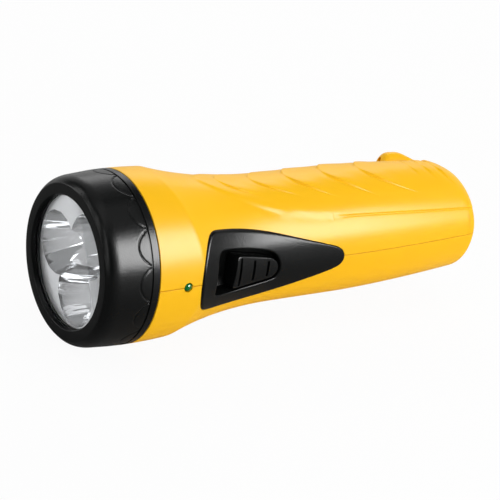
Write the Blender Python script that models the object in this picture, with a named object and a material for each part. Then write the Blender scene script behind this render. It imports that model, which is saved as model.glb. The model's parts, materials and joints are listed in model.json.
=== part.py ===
"""A rechargeable LED torch, in metres, +Z up.

The torch lies along X with its head towards -X, its switch towards -Y and the crest of its
grip towards +Z. Lengths along the torch are counted from the bezel's front lip.
"""

from math import cos, pi, radians, sin, sqrt

import bmesh
import bpy
from mathutils import Matrix, Vector

# Driving dimensions
LENGTH = 0.152
HEAD_RADIUS = 0.02815
HANDLE_RADIUS = 0.0213
TAIL_RADIUS = 0.0183
WALL = 0.0024
FIT = 0.0003
CUT_OVERRUN = 0.001
WELD = 0.000003
FLAT_ANGLE = radians(0.1)

# Bezel
BEZEL_DEPTH = 0.018
BEAD_SINK = 0.00065
LIP_FACE_INSET = 0.00255
LIP_WIDTH = 0.0039
LIP_THICKNESS = 0.0013
BEAD_DEPTH = 0.0046
WAIST_DEPTH = 0.0091
GROOVE_X = 0.0151
GROOVE_WIDTH = 0.0005
GROOVE_DEPTH = 0.0004
BEZEL_WALL = 0.0019
THREAD_CLEARANCE = 0.0004
BEZEL_SEGMENTS = 60

# Lens, gasket and reflector
LENS_THICKNESS = 0.0016
GASKET_THICKNESS = 0.0008
GASKET_OVERHANG = 0.0002
REFLECTOR_FACE_X = 0.004
REFLECTOR_INSET = 0.0005
FLANGE_THICKNESS = 0.001
CUP_PINCH = 0.0001
CUP_MARGIN = 0.0003
CUP_DEPTH = 0.014
CUP_SKIN = 0.0016
CUP_COUNT = 3
CUP_TURN = radians(18)
CUP_SEGMENTS = 28
CUP_BACK_SEGMENTS = 20
CUP_RINGS = 7

# Lamps and their board
LED_RADIUS = 0.0025
LED_FLANGE_RADIUS = 0.0029
LED_FLANGE_THICKNESS = 0.001
LED_LENGTH = 0.0086
BOARD_THICKNESS = 0.0016
LED_BOARD_CLEARANCE = 0.0005

# Shells
COLLAR_WALL = 0.0022
COLLAR_CHAMFER = 0.0004
STOP_RIB_WALL = 0.0018
STOP_RIB_DEPTH = 0.0025
ARRIS_SINK = 0.00045
ARRIS_TOP_X = 0.0289
ARRIS_SIDE_X = 0.0345
HANDLE_X = 0.0759
NECK_CURVE = 2.25
TAPER_LENGTH = 0.052
TAPER_CURVE = 1.6
TAIL_TOP_ROUND = 0.0135
TAIL_TOP_DROP = 0.004
TAIL_LOW_ROUND = 0.002
TAIL_LOW_DROP = 0.0019
HALF_SEGMENTS = 24
SKIN_ROWS = 14

# Grip pad
GRIP_START_X = 0.0434
GRIP_SPAN = 0.0516
GRIP_ANGLE = radians(54.5)
GRIP_CURVE = 0.7
GRIP_LIFT = 0.00035
GRIP_EDGE = radians(4)
RIB_LIFT = 0.0006
RIB_RISE = 0.0004
RIB_SWEEP_ANGLE = radians(36)
RIB_FADE_ANGLE = radians(52)
TAIL_RIB_SWEEP = 0.0024
TAIL_RIB_SETBACK = 0.0092
TAIL_RIB_SPACING = 0.0052
TAIL_RIB_COUNT = 3

# Cord lug
LUG_SETBACK = 0.0136
LUG_LENGTH = 0.0165
LUG_WIDTH = 0.0085
LUG_HEIGHT = 0.0043
LUG_ANGLE = radians(131)
LUG_HOLE_RADIUS = 0.0011
LUG_HOLE_RISE = 0.0017

# Switch panel and its slider
PANEL_PROUD = 0.0006
PANEL_SINK = 0.0013
PANEL_START_X = 0.0357
PANEL_LENGTH = 0.0584
PANEL_HEIGHT = 0.0275
TRAY_WALL = 0.0012
TRAY_SINK = 0.0027
WINDOW_START_X = 0.0418
WINDOW_LENGTH = 0.0259
WINDOW_HEIGHT = 0.0155
BUTTON_TRAVEL = 0.0045
BUTTON_SLOPE = 0.0035
BUTTON_SINK = 0.0003
BUTTON_GROOVE_WIDTH = 0.0006
BUTTON_GROOVE_DEPTH = 0.0005
STEM_LENGTH = 0.005
STEM_WIDTH = 0.003
STEM_X = 0.058

# Slide switch and charging board
LEVER_SIZE = 0.002
LEVER_HEIGHT = 0.003
SWITCH_LENGTH = 0.014
SWITCH_WIDTH = 0.0072
SWITCH_HEIGHT = 0.005
SWITCH_DROP = 0.0018
CHARGER_START_X = 0.0405
CHARGER_LENGTH = 0.0315
CHARGER_WIDTH = 0.024
RAIL_LENGTH = 0.003
RAIL_GRIP = 0.0015
RAIL_WIDTH = 0.005
CAPACITOR_SIZE = (0.012, 0.0095, 0.0055)
DIODE_RADIUS = 0.0013
DIODE_LENGTH = 0.0052
DIODE_SPACING = 0.0042
DIODE_COUNT = 4
RESISTOR_RADIUS = 0.0012
RESISTOR_LENGTH = 0.0065
FILTER_RADIUS = 0.003
FILTER_LENGTH = 0.0075
INDICATOR_X = 0.0288
INDICATOR_RADIUS = 0.0015
INDICATOR_FLANGE_RADIUS = 0.0019
INDICATOR_FLANGE_THICKNESS = 0.001
INDICATOR_LENGTH = 0.0053
INDICATOR_PROUD = 0.0004
LEAD_RADIUS = 0.0003
LEAD_SPACING = 0.00254

# Battery
BATTERY_X = 0.075
BATTERY_CLEARANCE = 0.0108
BATTERY_WIDTH = 0.024
BATTERY_HEIGHT = 0.019
BATTERY_DROP = 0.0035
TAB_LENGTH = 0.006
TAB_WIDTH = 0.0048
TAB_THICKNESS = 0.0008
TAB_SPACING = 0.01
RIB_THICKNESS = 0.0016
CRADLE_INSET = 0.008
HOLD_RIB_WIDTH = 0.005
HOLD_RIB_OFFSET = 0.009
STOP_WINDOW_RADIUS = 0.0095

# Charging inlet
INLET_LENGTH = 0.0135
INLET_WIDTH = 0.0175
INLET_HEIGHT = 0.0115
INLET_NECK_WIDTH = 0.015
INLET_NECK_HEIGHT = 0.009
SOCKET_WIDTH = 0.0126
SOCKET_HEIGHT = 0.0068
SOCKET_DEPTH = 0.0105
PIN_RADIUS = 0.0012
PIN_SPACING = 0.0086
PIN_TAIL = 0.003
PIN_SETBACK = 0.0015
PIN_CLEARANCE = 0.0002

# Screws
SCREW_HEAD_RADIUS = 0.00275
SCREW_HEAD_HEIGHT = 0.002
SCREW_RADIUS = 0.00145
SCREW_LENGTH = 0.014
SCREW_SINK = 0.006
BOSS_WALL = 0.0014
BOSS_SEGMENTS = 16
FRONT_SCREW = (0.037, 0.0145)
MIDDLE_SCREW = (0.0698, 0.0115)
REAR_SCREW_SETBACK = 0.021
REAR_SCREW_OFFSET = 0.0105

# Wires
WIRE_RADIUS = 0.0007

# Colours
YELLOW = (1.0, 0.58, 0.03, 1.0)
BLACK = (0.012, 0.012, 0.012, 1.0)
RUBBER = (0.02, 0.02, 0.02, 1.0)
CHROME = (0.85, 0.85, 0.85, 1.0)
CLEAR = (0.95, 0.97, 1.0, 1.0)
GREEN = (0.0, 0.2, 0.04, 1.0)
BOARD_GREEN = (0.02, 0.16, 0.06, 1.0)
TIN = (0.6, 0.6, 0.58, 1.0)
GREY = (0.2, 0.2, 0.22, 1.0)
RED = (0.6, 0.02, 0.02, 1.0)
BROWN = (0.25, 0.1, 0.04, 1.0)

# Derived sizes
BEAD_RADIUS = HEAD_RADIUS - BEAD_SINK
LIP_FACE_RADIUS = HEAD_RADIUS - LIP_FACE_INSET
LIP_RADIUS = LIP_FACE_RADIUS - LIP_WIDTH
GASKET_INSIDE_RADIUS = LIP_RADIUS - GASKET_OVERHANG
REFLECTOR_RADIUS = LIP_RADIUS - REFLECTOR_INSET
CUP_OFFSET = REFLECTOR_RADIUS / 2 - CUP_PINCH
CUP_RADIUS = REFLECTOR_RADIUS - CUP_OFFSET - CUP_MARGIN
ARRIS_RADIUS = HEAD_RADIUS - ARRIS_SINK
TRAY_FLOOR_Y = HANDLE_RADIUS - TRAY_SINK
TAPER_X = LENGTH - TAPER_LENGTH
LUG_X = LENGTH - LUG_SETBACK
COLLAR_RADIUS = BEAD_RADIUS - BEZEL_WALL - THREAD_CLEARANCE
BORE_RADIUS = COLLAR_RADIUS + THREAD_CLEARANCE
SEAT_RADIUS = BORE_RADIUS - THREAD_CLEARANCE
LENS_X = LIP_THICKNESS + FIT
GASKET_X = LENS_X + LENS_THICKNESS + FIT
FLANGE_X = GASKET_X + GASKET_THICKNESS + FIT
COLLAR_X = FLANGE_X + FLANGE_THICKNESS + FIT
FLARE_X = BEZEL_DEPTH + FIT
CUP_BOTTOM_X = REFLECTOR_FACE_X + CUP_DEPTH
LED_FLANGE_X = CUP_BOTTOM_X + CUP_SKIN + FIT
LED_BOARD_X = LED_FLANGE_X + LED_FLANGE_THICKNESS + FIT
STOP_RIB_X = LED_BOARD_X + BOARD_THICKNESS + FIT
COLLAR_BORE = COLLAR_RADIUS - COLLAR_WALL
LED_BOARD_RADIUS = COLLAR_BORE - LED_BOARD_CLEARANCE
TAIL_INSIDE_X = LENGTH - WALL
TAIL_RIB_X = LENGTH - TAIL_RIB_SETBACK - (TAIL_RIB_COUNT - 1) * TAIL_RIB_SPACING
BATTERY_LOW = -BATTERY_HEIGHT / 2 - BATTERY_DROP
BATTERY_TOP = BATTERY_LOW + BATTERY_HEIGHT
TRAY_UNDER_Y = TRAY_FLOOR_Y - TRAY_WALL
SWITCH_TOP_Y = TRAY_UNDER_Y - SWITCH_DROP
CHARGER_TOP_Y = SWITCH_TOP_Y - SWITCH_HEIGHT - FIT
CHARGER_BACK_Y = CHARGER_TOP_Y - BOARD_THICKNESS
INLET_X = TAIL_INSIDE_X - FIT - INLET_LENGTH
BATTERY_LENGTH = INLET_X - BATTERY_CLEARANCE - BATTERY_X
SCREW_PLACES = (FRONT_SCREW, MIDDLE_SCREW, (LENGTH - REAR_SCREW_SETBACK, REAR_SCREW_OFFSET))


def material(name, colour, roughness, metallic=0.0):
    """A Principled material with one plain colour."""
    result = bpy.data.materials.new(name)
    result.use_nodes = True
    shader = result.node_tree.nodes["Principled BSDF"]
    shader.inputs["Base Color"].default_value = colour
    shader.inputs["Roughness"].default_value = roughness
    shader.inputs["Metallic"].default_value = metallic
    result.diffuse_color = colour
    return result


def solid(name, points, faces):
    """An object from points and faces, with its faces turned outwards and split into triangles."""
    mesh = bpy.data.meshes.new(name)
    mesh.from_pydata([tuple(point) for point in points], [], faces)
    shape = bmesh.new()
    shape.from_mesh(mesh)
    bmesh.ops.recalc_face_normals(shape, faces=shape.faces)
    bmesh.ops.triangulate(shape, faces=shape.faces)
    shape.to_mesh(mesh)
    shape.free()
    result = bpy.data.objects.new(name, mesh)
    bpy.context.collection.objects.link(result)
    return result


def baked(item):
    """Replace an object's mesh by its evaluated mesh, with near points and flat faces merged."""
    bpy.context.view_layer.update()
    graph = bpy.context.evaluated_depsgraph_get()
    mesh = bpy.data.meshes.new_from_object(item.evaluated_get(graph))
    item.modifiers.clear()
    item.data = mesh
    shape = bmesh.new()
    shape.from_mesh(mesh)
    bmesh.ops.remove_doubles(shape, verts=shape.verts, dist=WELD)
    bmesh.ops.dissolve_degenerate(shape, edges=shape.edges, dist=WELD)
    bmesh.ops.dissolve_limit(shape, angle_limit=FLAT_ANGLE, verts=shape.verts, edges=shape.edges)
    bmesh.ops.triangulate(shape, faces=shape.faces)
    shape.to_mesh(mesh)
    shape.free()
    return item


def boolean(item, tool, operation):
    """Cut, join or intersect one solid with another, which is used up."""
    step = item.modifiers.new(tool.name, "BOOLEAN")
    step.object = tool
    step.operation = operation
    baked(item)
    bpy.data.objects.remove(tool)
    return item


def cut(item, tool):
    return boolean(item, tool, "DIFFERENCE")


def join(item, tool):
    return boolean(item, tool, "UNION")


def common(item, tool):
    return boolean(item, tool, "INTERSECT")


def finished(item, parent, finish):
    """Give a solid its one material and its parent."""
    item.data.materials.clear()
    item.data.materials.append(finish)
    for face in item.data.polygons:
        face.material_index = 0
    item.data.shade_smooth()
    item.data.set_sharp_from_angle(angle=radians(35))
    item.parent = parent
    return item


def box(name, low, high):
    points = [(x, y, z) for x in (low[0], high[0]) for y in (low[1], high[1]) for z in (low[2], high[2])]
    faces = [(0, 1, 3, 2), (4, 6, 7, 5), (0, 4, 5, 1), (2, 3, 7, 6), (0, 2, 6, 4), (1, 5, 7, 3)]
    return solid(name, points, faces)


def turned(name, profile, segments, first=0.0):
    """Turn a closed outline of (x, radius) points about the X axis."""
    points = []
    rows = []
    for x, radius in profile:
        if radius == 0:
            rows.append([len(points)] * segments)
            points.append((x, 0, 0))
            continue
        rows.append(list(range(len(points), len(points) + segments)))
        for step in range(segments):
            angle = first + 2 * pi * step / segments
            points.append((x, -radius * cos(angle), radius * sin(angle)))
    faces = []
    for row, following in zip(rows, rows[1:] + rows[:1]):
        for step in range(segments):
            after = (step + 1) % segments
            corners = [row[step], row[after], following[after], following[step]]
            corners = [c for i, c in enumerate(corners) if c not in corners[:i]]
            if len(corners) > 2:
                faces.append(corners)
    return solid(name, points, faces)


def aimed(item, start, direction):
    """Turn a solid made along +X to a direction and put its origin at start."""
    turn = Vector((1, 0, 0)).rotation_difference(Vector(direction)).to_matrix().to_4x4()
    item.data.transform(Matrix.Translation(Vector(start)) @ turn)
    return item


def rod(name, start, end, radius, segments=BOSS_SEGMENTS):
    """A plain cylinder between two points."""
    span = Vector(end) - Vector(start)
    item = turned(name, [(0, 0), (0, radius), (span.length, radius), (span.length, 0)], segments)
    return aimed(item, start, span)


def prism(name, outline, near_y, far_y):
    """A block along Y with an outline of (x, z) points."""
    count = len(outline)
    points = [(x, near_y, z) for x, z in outline] + [(x, far_y, z) for x, z in outline]
    faces = [list(range(count)), list(range(2 * count - 1, count - 1, -1))]
    for step in range(count):
        after = (step + 1) % count
        faces.append((step, after, after + count, step + count))
    return solid(name, points, faces)


def tail_round(x, up):
    """How far the surface has drawn in at the tail's end; up is 1 at the crest and 0 from the sides down."""
    reach = TAIL_LOW_ROUND + (TAIL_TOP_ROUND - TAIL_LOW_ROUND) * up
    drop = TAIL_LOW_DROP + (TAIL_TOP_DROP - TAIL_LOW_DROP) * up
    along = (x - (LENGTH - reach)) / reach
    if along <= 0:
        return 0.0
    return drop * (1 - sqrt(max(0.0, 1 - min(along, 1.0) ** 2)))


def body_radius(x, angle):
    """Radius of the plain body at a place along it; the angle runs from -Y towards +Z."""
    arris = ARRIS_TOP_X + (ARRIS_SIDE_X - ARRIS_TOP_X) * cos(angle) ** 2
    if x <= arris:
        along = max(0.0, (x - FLARE_X) / (arris - FLARE_X))
        return HEAD_RADIUS - (HEAD_RADIUS - ARRIS_RADIUS) * along ** 2
    if x <= HANDLE_X:
        along = (x - arris) / (HANDLE_X - arris)
        return HANDLE_RADIUS + (ARRIS_RADIUS - HANDLE_RADIUS) * (1 - along) ** NECK_CURVE
    along = min(1.0, max(0.0, (x - TAPER_X) / (LENGTH - TAPER_X)))
    plain = HANDLE_RADIUS - (HANDLE_RADIUS - TAIL_RADIUS) * along ** TAPER_CURVE
    return plain - tail_round(x, max(0.0, sin(angle)) ** 2)


def smooth_step(value):
    value = min(1.0, max(0.0, value))
    return value * value * (3 - 2 * value)


def grip_lift(x, lean):
    """Rise of the grip pad, inside the line that bounds it; lean is the angle from the crest."""
    along = min(1.0, max(0.0, (x - GRIP_START_X) / GRIP_SPAN))
    edge = GRIP_ANGLE * (1 - (1 - along) ** 2) ** GRIP_CURVE
    return GRIP_LIFT * smooth_step((edge - lean) / GRIP_EDGE)


def rib_fade(lean):
    return max(0.0, 1 - (lean / RIB_FADE_ANGLE) ** 2)


def rib_sweep(lean):
    """How far a rib's line has swept back at an angle from the crest, as a share of its sweep."""
    limit_share = 1.25
    return min(lean / RIB_SWEEP_ANGLE, limit_share) ** 2


def upper_stations():
    """Lines round the upper shell, as (x at the crest, sweep, share of the rib lift)."""
    rib_shares = (0.307, 0.422, 0.545, 0.675, 0.8085)
    head_shares = (0.0, 0.135, 0.308, 0.52, 0.751, 0.944)
    sweep_share = 0.114
    span = TAIL_RIB_X - FLARE_X
    neck = FLARE_X + span * rib_shares[0] - ARRIS_TOP_X
    stations = [(FLARE_X, 0, 0), ((FLARE_X + ARRIS_TOP_X) / 2, 0, 0)]
    stations += [(ARRIS_TOP_X + neck * share, 0, 0) for share in head_shares]
    for share in rib_shares:
        x = FLARE_X + span * share
        stations += [(x, span * sweep_share, 0), (x + RIB_RISE, span * sweep_share, 1)]
    for count in range(TAIL_RIB_COUNT):
        x = TAIL_RIB_X + TAIL_RIB_SPACING * count
        stations += [(x, TAIL_RIB_SWEEP, 0), (x + RIB_RISE, TAIL_RIB_SWEEP, 1)]
    stations += end_stations()
    return stations


def end_stations():
    """Lines round the tail's rounded end."""
    crest_shares = (0.58, 0.78)
    edge_shares = (0.1, 0.45, 0.75, 0.93, 1.0)
    stations = [(LENGTH - TAIL_TOP_ROUND * (1 - share), 0, 0) for share in crest_shares]
    return stations + [(LENGTH - TAIL_LOW_ROUND * (1 - share), 0, 0) for share in edge_shares]


def lower_stations():
    shares = (0.0, 0.055, 0.1, 0.155, 0.215, 0.28, 0.35, 0.43, 0.55, 0.66, 0.76, 0.86, 0.93)
    stations = [(FLARE_X + (LENGTH - FLARE_X) * share, 0, 0) for share in shares]
    return stations + end_stations()


def half_body(name, stations, side):
    """The outer solid of one half: side is 1 for the upper shell and -1 for the lower."""
    rings = [[(COLLAR_X, COLLAR_RADIUS - COLLAR_CHAMFER)], [(COLLAR_X + COLLAR_CHAMFER, COLLAR_RADIUS)]]
    rings += [[(FLARE_X, COLLAR_RADIUS)]]
    rings = [ring * (HALF_SEGMENTS + 1) for ring in rings]
    angles = [pi * step / HALF_SEGMENTS for step in range(HALF_SEGMENTS + 1)]
    for crest_x, sweep, lift in stations:
        ring = []
        for angle in angles:
            lean = abs(pi / 2 - angle)
            arris_shift = (ARRIS_SIDE_X - ARRIS_TOP_X) * cos(angle) ** 2
            near = smooth_step((crest_x - FLARE_X) / (ARRIS_TOP_X - FLARE_X))
            fade = smooth_step((HANDLE_X - crest_x) / (HANDLE_X - ARRIS_TOP_X))
            x = crest_x + arris_shift * near * fade + sweep * rib_sweep(lean)
            x = min(x, LENGTH)
            radius = body_radius(x, side * angle)
            if side > 0:
                radius += grip_lift(x, lean) + RIB_LIFT * lift * rib_fade(lean)
            ring.append((x, radius))
        rings.append(ring)
    points = []
    for ring in rings:
        for (x, radius), angle in zip(ring, angles):
            z = side * max(radius * sin(angle), FIT / 2)
            points.append((x, -radius * cos(angle), z))
    width = HALF_SEGMENTS + 1
    faces = []
    for row in range(len(rings) - 1):
        for step in range(HALF_SEGMENTS):
            first = row * width + step
            faces.append((first, first + 1, first + width + 1, first + width))
    near_edge = [row * width for row in range(len(rings))]
    far_edge = [row * width + HALF_SEGMENTS for row in range(len(rings))]
    faces.append(near_edge + far_edge[::-1])
    faces.append(list(range(width)))
    faces.append(list(range((len(rings) - 1) * width, len(rings) * width)))
    return solid(name, points, faces)


def cavity():
    """The space inside both shells, with the rib that stops the lamp board."""
    rib_end = STOP_RIB_X + STOP_RIB_DEPTH
    outline = [(COLLAR_X - CUT_OVERRUN, 0), (COLLAR_X - CUT_OVERRUN, COLLAR_BORE), (STOP_RIB_X, COLLAR_BORE)]
    outline += [(STOP_RIB_X, COLLAR_BORE - STOP_RIB_WALL), (rib_end, COLLAR_BORE - STOP_RIB_WALL)]
    hollow_shares = (0.0, 0.06, 0.14, 0.25, 0.4, 0.62, 0.8, 0.93, 1.0)
    for share in hollow_shares:
        x = rib_end + (TAIL_INSIDE_X - rib_end) * share
        outline.append((x, min(body_radius(x, pi / 2), body_radius(x, 0)) - WALL))
    outline.append((TAIL_INSIDE_X, 0))
    return turned("cavity", outline, 2 * HALF_SEGMENTS)


def panel_outline(margin=0.0):
    """The switch panel's fin outline, as (x, z) points, grown by a margin."""
    corner_shares = (
        (0.05, -0.385), (0.0, -0.15), (0.0, 0.12), (0.015, 0.3), (0.045, 0.42), (0.095, 0.485),
        (0.18, 0.5), (0.30, 0.465), (0.45, 0.405), (0.62, 0.315), (0.80, 0.205), (0.91, 0.135),
        (0.97, 0.075), (1.0, -0.005), (0.985, -0.08), (0.93, -0.145), (0.78, -0.24), (0.58, -0.345),
        (0.40, -0.415), (0.25, -0.455), (0.13, -0.475), (0.07, -0.455),
    )
    return grown([(PANEL_START_X + PANEL_LENGTH * x, PANEL_HEIGHT * z) for x, z in corner_shares], margin)


def window_outline(margin=0.0):
    """The recess that the slider moves in, as (x, z) points, grown by a margin."""
    corner_shares = (
        (0.0, -0.35), (0.0, 0.4), (0.03, 0.5), (0.12, 0.56), (0.42, 0.49), (0.78, 0.37), (0.9, 0.28),
        (0.97, 0.15), (1.0, -0.03), (0.97, -0.19), (0.9, -0.28), (0.42, -0.375), (0.1, -0.44), (0.03, -0.43),
    )
    return grown([(WINDOW_START_X + WINDOW_LENGTH * x, WINDOW_HEIGHT * z) for x, z in corner_shares], margin)


def grown(outline, margin):
    """Move an outline's points out along their corner directions."""
    if margin == 0:
        return outline
    count = len(outline)
    area = sum(outline[i - 1][0] * outline[i][1] - outline[i][0] * outline[i - 1][1] for i in range(count))
    hand = 1 if area > 0 else -1
    result = []
    for i in range(count):
        before = Vector(outline[i]) - Vector(outline[i - 1])
        after = Vector(outline[(i + 1) % count]) - Vector(outline[i])
        first = Vector((before.y, -before.x)).normalized() * hand
        second = Vector((after.y, -after.x)).normalized() * hand
        middle = (first + second).normalized()
        stretch = margin / max(middle.dot(first), 0.5)
        result.append((outline[i][0] + middle.x * stretch, outline[i][1] + middle.y * stretch))
    return result


def skin(name, offset, start, end):
    """A solid with the plain body's surface between two places, moved out by an offset."""
    rows = SKIN_ROWS
    segments = 2 * HALF_SEGMENTS
    points = []
    for row in range(rows + 1):
        x = start + (end - start) * row / rows
        for step in range(segments):
            angle = 2 * pi * step / segments
            radius = body_radius(x, angle) + offset
            points.append((x, -radius * cos(angle), radius * sin(angle)))
    faces = [list(range(segments)), list(range(rows * segments, (rows + 1) * segments))]
    for row in range(rows):
        for step in range(segments):
            after = (step + 1) % segments
            first = row * segments
            faces.append((first + step, first + after, first + segments + after, first + segments + step))
    return solid(name, points, faces)


def panel_skin(name, offset):
    """The surface solid over the switch panel's stretch of the body."""
    margin = WALL
    return skin(name, offset, PANEL_START_X - margin, PANEL_START_X + PANEL_LENGTH + margin)


def bezel_ring():
    """The screwed ring: front bead, waist, rear band with its groove, and the lip that holds the lens."""
    step_share = 0.4
    bead_share = 0.55
    flare = BEZEL_DEPTH - WAIST_DEPTH
    groove_end = GROOVE_X + GROOVE_WIDTH
    outline = [
        (0, LIP_RADIUS),
        (0, LIP_FACE_RADIUS),
        (BEAD_DEPTH * step_share, LIP_FACE_RADIUS + (BEAD_RADIUS - LIP_FACE_RADIUS) * bead_share),
        (BEAD_DEPTH, BEAD_RADIUS),
        (WAIST_DEPTH, BEAD_RADIUS),
        (WAIST_DEPTH + flare / 6, BEAD_RADIUS + (HEAD_RADIUS - BEAD_RADIUS) / 4),
        (WAIST_DEPTH + flare / 3, HEAD_RADIUS - (HEAD_RADIUS - BEAD_RADIUS) / 8),
        (GROOVE_X, HEAD_RADIUS),
        (GROOVE_X, HEAD_RADIUS - GROOVE_DEPTH),
        (groove_end, HEAD_RADIUS - GROOVE_DEPTH),
        (groove_end, HEAD_RADIUS),
        (BEZEL_DEPTH, HEAD_RADIUS),
        (BEZEL_DEPTH, BORE_RADIUS),
        (LIP_THICKNESS, BORE_RADIUS),
        (LIP_THICKNESS, LIP_RADIUS),
    ]
    return turned("bezel_ring", outline, BEZEL_SEGMENTS)


def lens():
    end = LENS_X + LENS_THICKNESS
    return turned("lens", [(LENS_X, 0), (LENS_X, SEAT_RADIUS), (end, SEAT_RADIUS), (end, 0)], BEZEL_SEGMENTS)


def lens_gasket():
    end = GASKET_X + GASKET_THICKNESS
    outline = [(GASKET_X, GASKET_INSIDE_RADIUS), (GASKET_X, SEAT_RADIUS)]
    outline += [(end, SEAT_RADIUS), (end, GASKET_INSIDE_RADIUS)]
    return turned("lens_gasket", outline, BEZEL_SEGMENTS)


def cup_places():
    """Where the reflector's cups and lamps stand, as (y, z)."""
    angles = [CUP_TURN - pi / 2 + 2 * pi * step / CUP_COUNT for step in range(CUP_COUNT)]
    return [(-CUP_OFFSET * cos(angle), CUP_OFFSET * sin(angle)) for angle in angles]


def cup_solid(name, bottom, front, place, segments):
    """A paraboloid cup from its bottom forwards, about an axis at a (y, z) place."""
    outline = [(bottom, 0)]
    for ring in range(1, CUP_RINGS + 1):
        share = (ring / CUP_RINGS) ** 2
        x = bottom + (front - bottom) * share
        outline.append((x, CUP_RADIUS * sqrt((bottom - x) / CUP_DEPTH)))
    outline.append((front, 0))
    item = turned(name, outline, segments)
    item.data.transform(Matrix.Translation((0, place[0], place[1])))
    return item


def reflector():
    """A face and flange with three cups that meet in the middle, each open for its lamp."""
    back = FLANGE_X + FLANGE_THICKNESS
    outline = [(REFLECTOR_FACE_X, 0), (REFLECTOR_FACE_X, REFLECTOR_RADIUS), (FLANGE_X, REFLECTOR_RADIUS)]
    outline += [(FLANGE_X, SEAT_RADIUS), (back, SEAT_RADIUS), (back, 0)]
    item = turned("reflector", outline, 2 * HALF_SEGMENTS)
    inside = (FLANGE_X + back) / 2
    for place in cup_places():
        join(item, cup_solid("cup_back", CUP_BOTTOM_X + CUP_SKIN, inside, place, CUP_BACK_SEGMENTS))
    for place in cup_places():
        cut(item, cup_solid("cup", CUP_BOTTOM_X, REFLECTOR_FACE_X - CUT_OVERRUN, place, CUP_SEGMENTS))
    for place in cup_places():
        start = (CUP_BOTTOM_X - CUT_OVERRUN, *place)
        end = (CUP_BOTTOM_X + CUP_SKIN + CUT_OVERRUN, *place)
        cut(item, rod("lamp_hole", start, end, LED_RADIUS + FIT))
    return item


def lamp(name, radius, length, flange_radius, flange_thickness):
    """A round-nosed lamp, its nose at the origin and its flange towards +X."""
    nose = [(radius * (1 - cos(angle)), radius * sin(angle)) for angle in (0, pi / 6, pi / 3, pi / 2)]
    flange = length - flange_thickness
    outline = nose + [(flange, radius), (flange, flange_radius), (length, flange_radius), (length, 0)]
    return turned(name, outline, BOSS_SEGMENTS)


def main_lamps():
    items = []
    for count, place in enumerate(cup_places()):
        item = lamp("led_%d" % (count + 1), LED_RADIUS, LED_LENGTH, LED_FLANGE_RADIUS, LED_FLANGE_THICKNESS)
        nose = LED_FLANGE_X + LED_FLANGE_THICKNESS - LED_LENGTH
        item.data.transform(Matrix.Translation((nose, *place)))
        items.append(item)
    return items


def led_board():
    end = LED_BOARD_X + BOARD_THICKNESS
    outline = [(LED_BOARD_X, 0), (LED_BOARD_X, LED_BOARD_RADIUS), (end, LED_BOARD_RADIUS), (end, 0)]
    return turned("led_board", outline, 2 * HALF_SEGMENTS)


def indicator_led():
    item = lamp(
        "indicator_led", INDICATOR_RADIUS, INDICATOR_LENGTH,
        INDICATOR_FLANGE_RADIUS, INDICATOR_FLANGE_THICKNESS,
    )
    nose = -(body_radius(INDICATOR_X, 0) + INDICATOR_PROUD)
    return aimed(item, (INDICATOR_X, nose, 0), (0, 1, 0))


def switch_panel():
    """The fin-shaped cover with a sunk tray for the slider and a slot for its stem."""
    near = -(HEAD_RADIUS + WALL)
    item = prism("switch_panel", panel_outline(), near, -TRAY_UNDER_Y)
    common(item, panel_skin("outer", PANEL_PROUD))
    under = prism("under", panel_outline(CUT_OVERRUN), near, -(TRAY_UNDER_Y - CUT_OVERRUN))
    common(under, panel_skin("inner", -PANEL_SINK))
    cut(under, prism("tray", window_outline(TRAY_WALL), near - CUT_OVERRUN, 0))
    cut(item, under)
    cut(item, prism("window", window_outline(), near, -TRAY_FLOOR_Y))
    half = STEM_WIDTH / 2 + FIT
    slot_low = (STEM_X - STEM_LENGTH / 2 - BUTTON_TRAVEL - FIT, -TRAY_FLOOR_Y - CUT_OVERRUN, -half)
    slot_high = (STEM_X + STEM_LENGTH / 2 + FIT, -TRAY_UNDER_Y + CUT_OVERRUN, half)
    return cut(item, box("slot", slot_low, slot_high))


def switch_button():
    """The ridged slider, which fills the rear of the tray when the torch is off."""
    front = WINDOW_START_X + BUTTON_TRAVEL + FIT
    outline = window_outline(-FIT)
    item = prism("switch_button", outline, -HEAD_RADIUS, -(TRAY_FLOOR_Y + FIT))
    common(item, prism("moved_window", [(x + BUTTON_TRAVEL, z) for x, z in outline], -HEAD_RADIUS - WALL, 0))
    common(item, panel_skin("top", PANEL_PROUD - BUTTON_SINK))
    reach = WINDOW_HEIGHT
    slope = prism(
        "slope", [(0, -reach), (front, -reach), (front, reach), (0, reach)], -HEAD_RADIUS - reach, 0,
    )
    for point in slope.data.vertices:
        if point.co.x > 0:
            point.co.x += BUTTON_SLOPE * (-TRAY_FLOOR_Y - point.co.y) / (body_radius(front, 0) - TRAY_FLOOR_Y)
    cut(item, slope)
    groove_shares = (0.24, 0.52, 0.8)
    front_share = 0.55
    narrowing_share = 0.28
    length = WINDOW_START_X + WINDOW_LENGTH - front
    for share in groove_shares:
        x = front + length * share
        depth = body_radius(x, 0) + PANEL_PROUD - BUTTON_SINK - BUTTON_GROOVE_DEPTH
        half = WINDOW_HEIGHT * (front_share - narrowing_share * share)
        low = (x, -HEAD_RADIUS, -half)
        cut(item, box("groove", low, (x + BUTTON_GROOVE_WIDTH, -depth, half)))
    end = SWITCH_TOP_Y + 2 * FIT
    low = (STEM_X - STEM_LENGTH / 2, -(TRAY_FLOOR_Y + 2 * FIT), -STEM_WIDTH / 2)
    join(item, box("stem", low, (STEM_X + STEM_LENGTH / 2, -end, STEM_WIDTH / 2)))
    half = LEVER_SIZE / 2 + FIT / 2
    low = (STEM_X - half, -(end + LEVER_HEIGHT / 2), -half)
    return cut(item, box("lever_socket", low, (STEM_X + half, -end + CUT_OVERRUN, half)))


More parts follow.
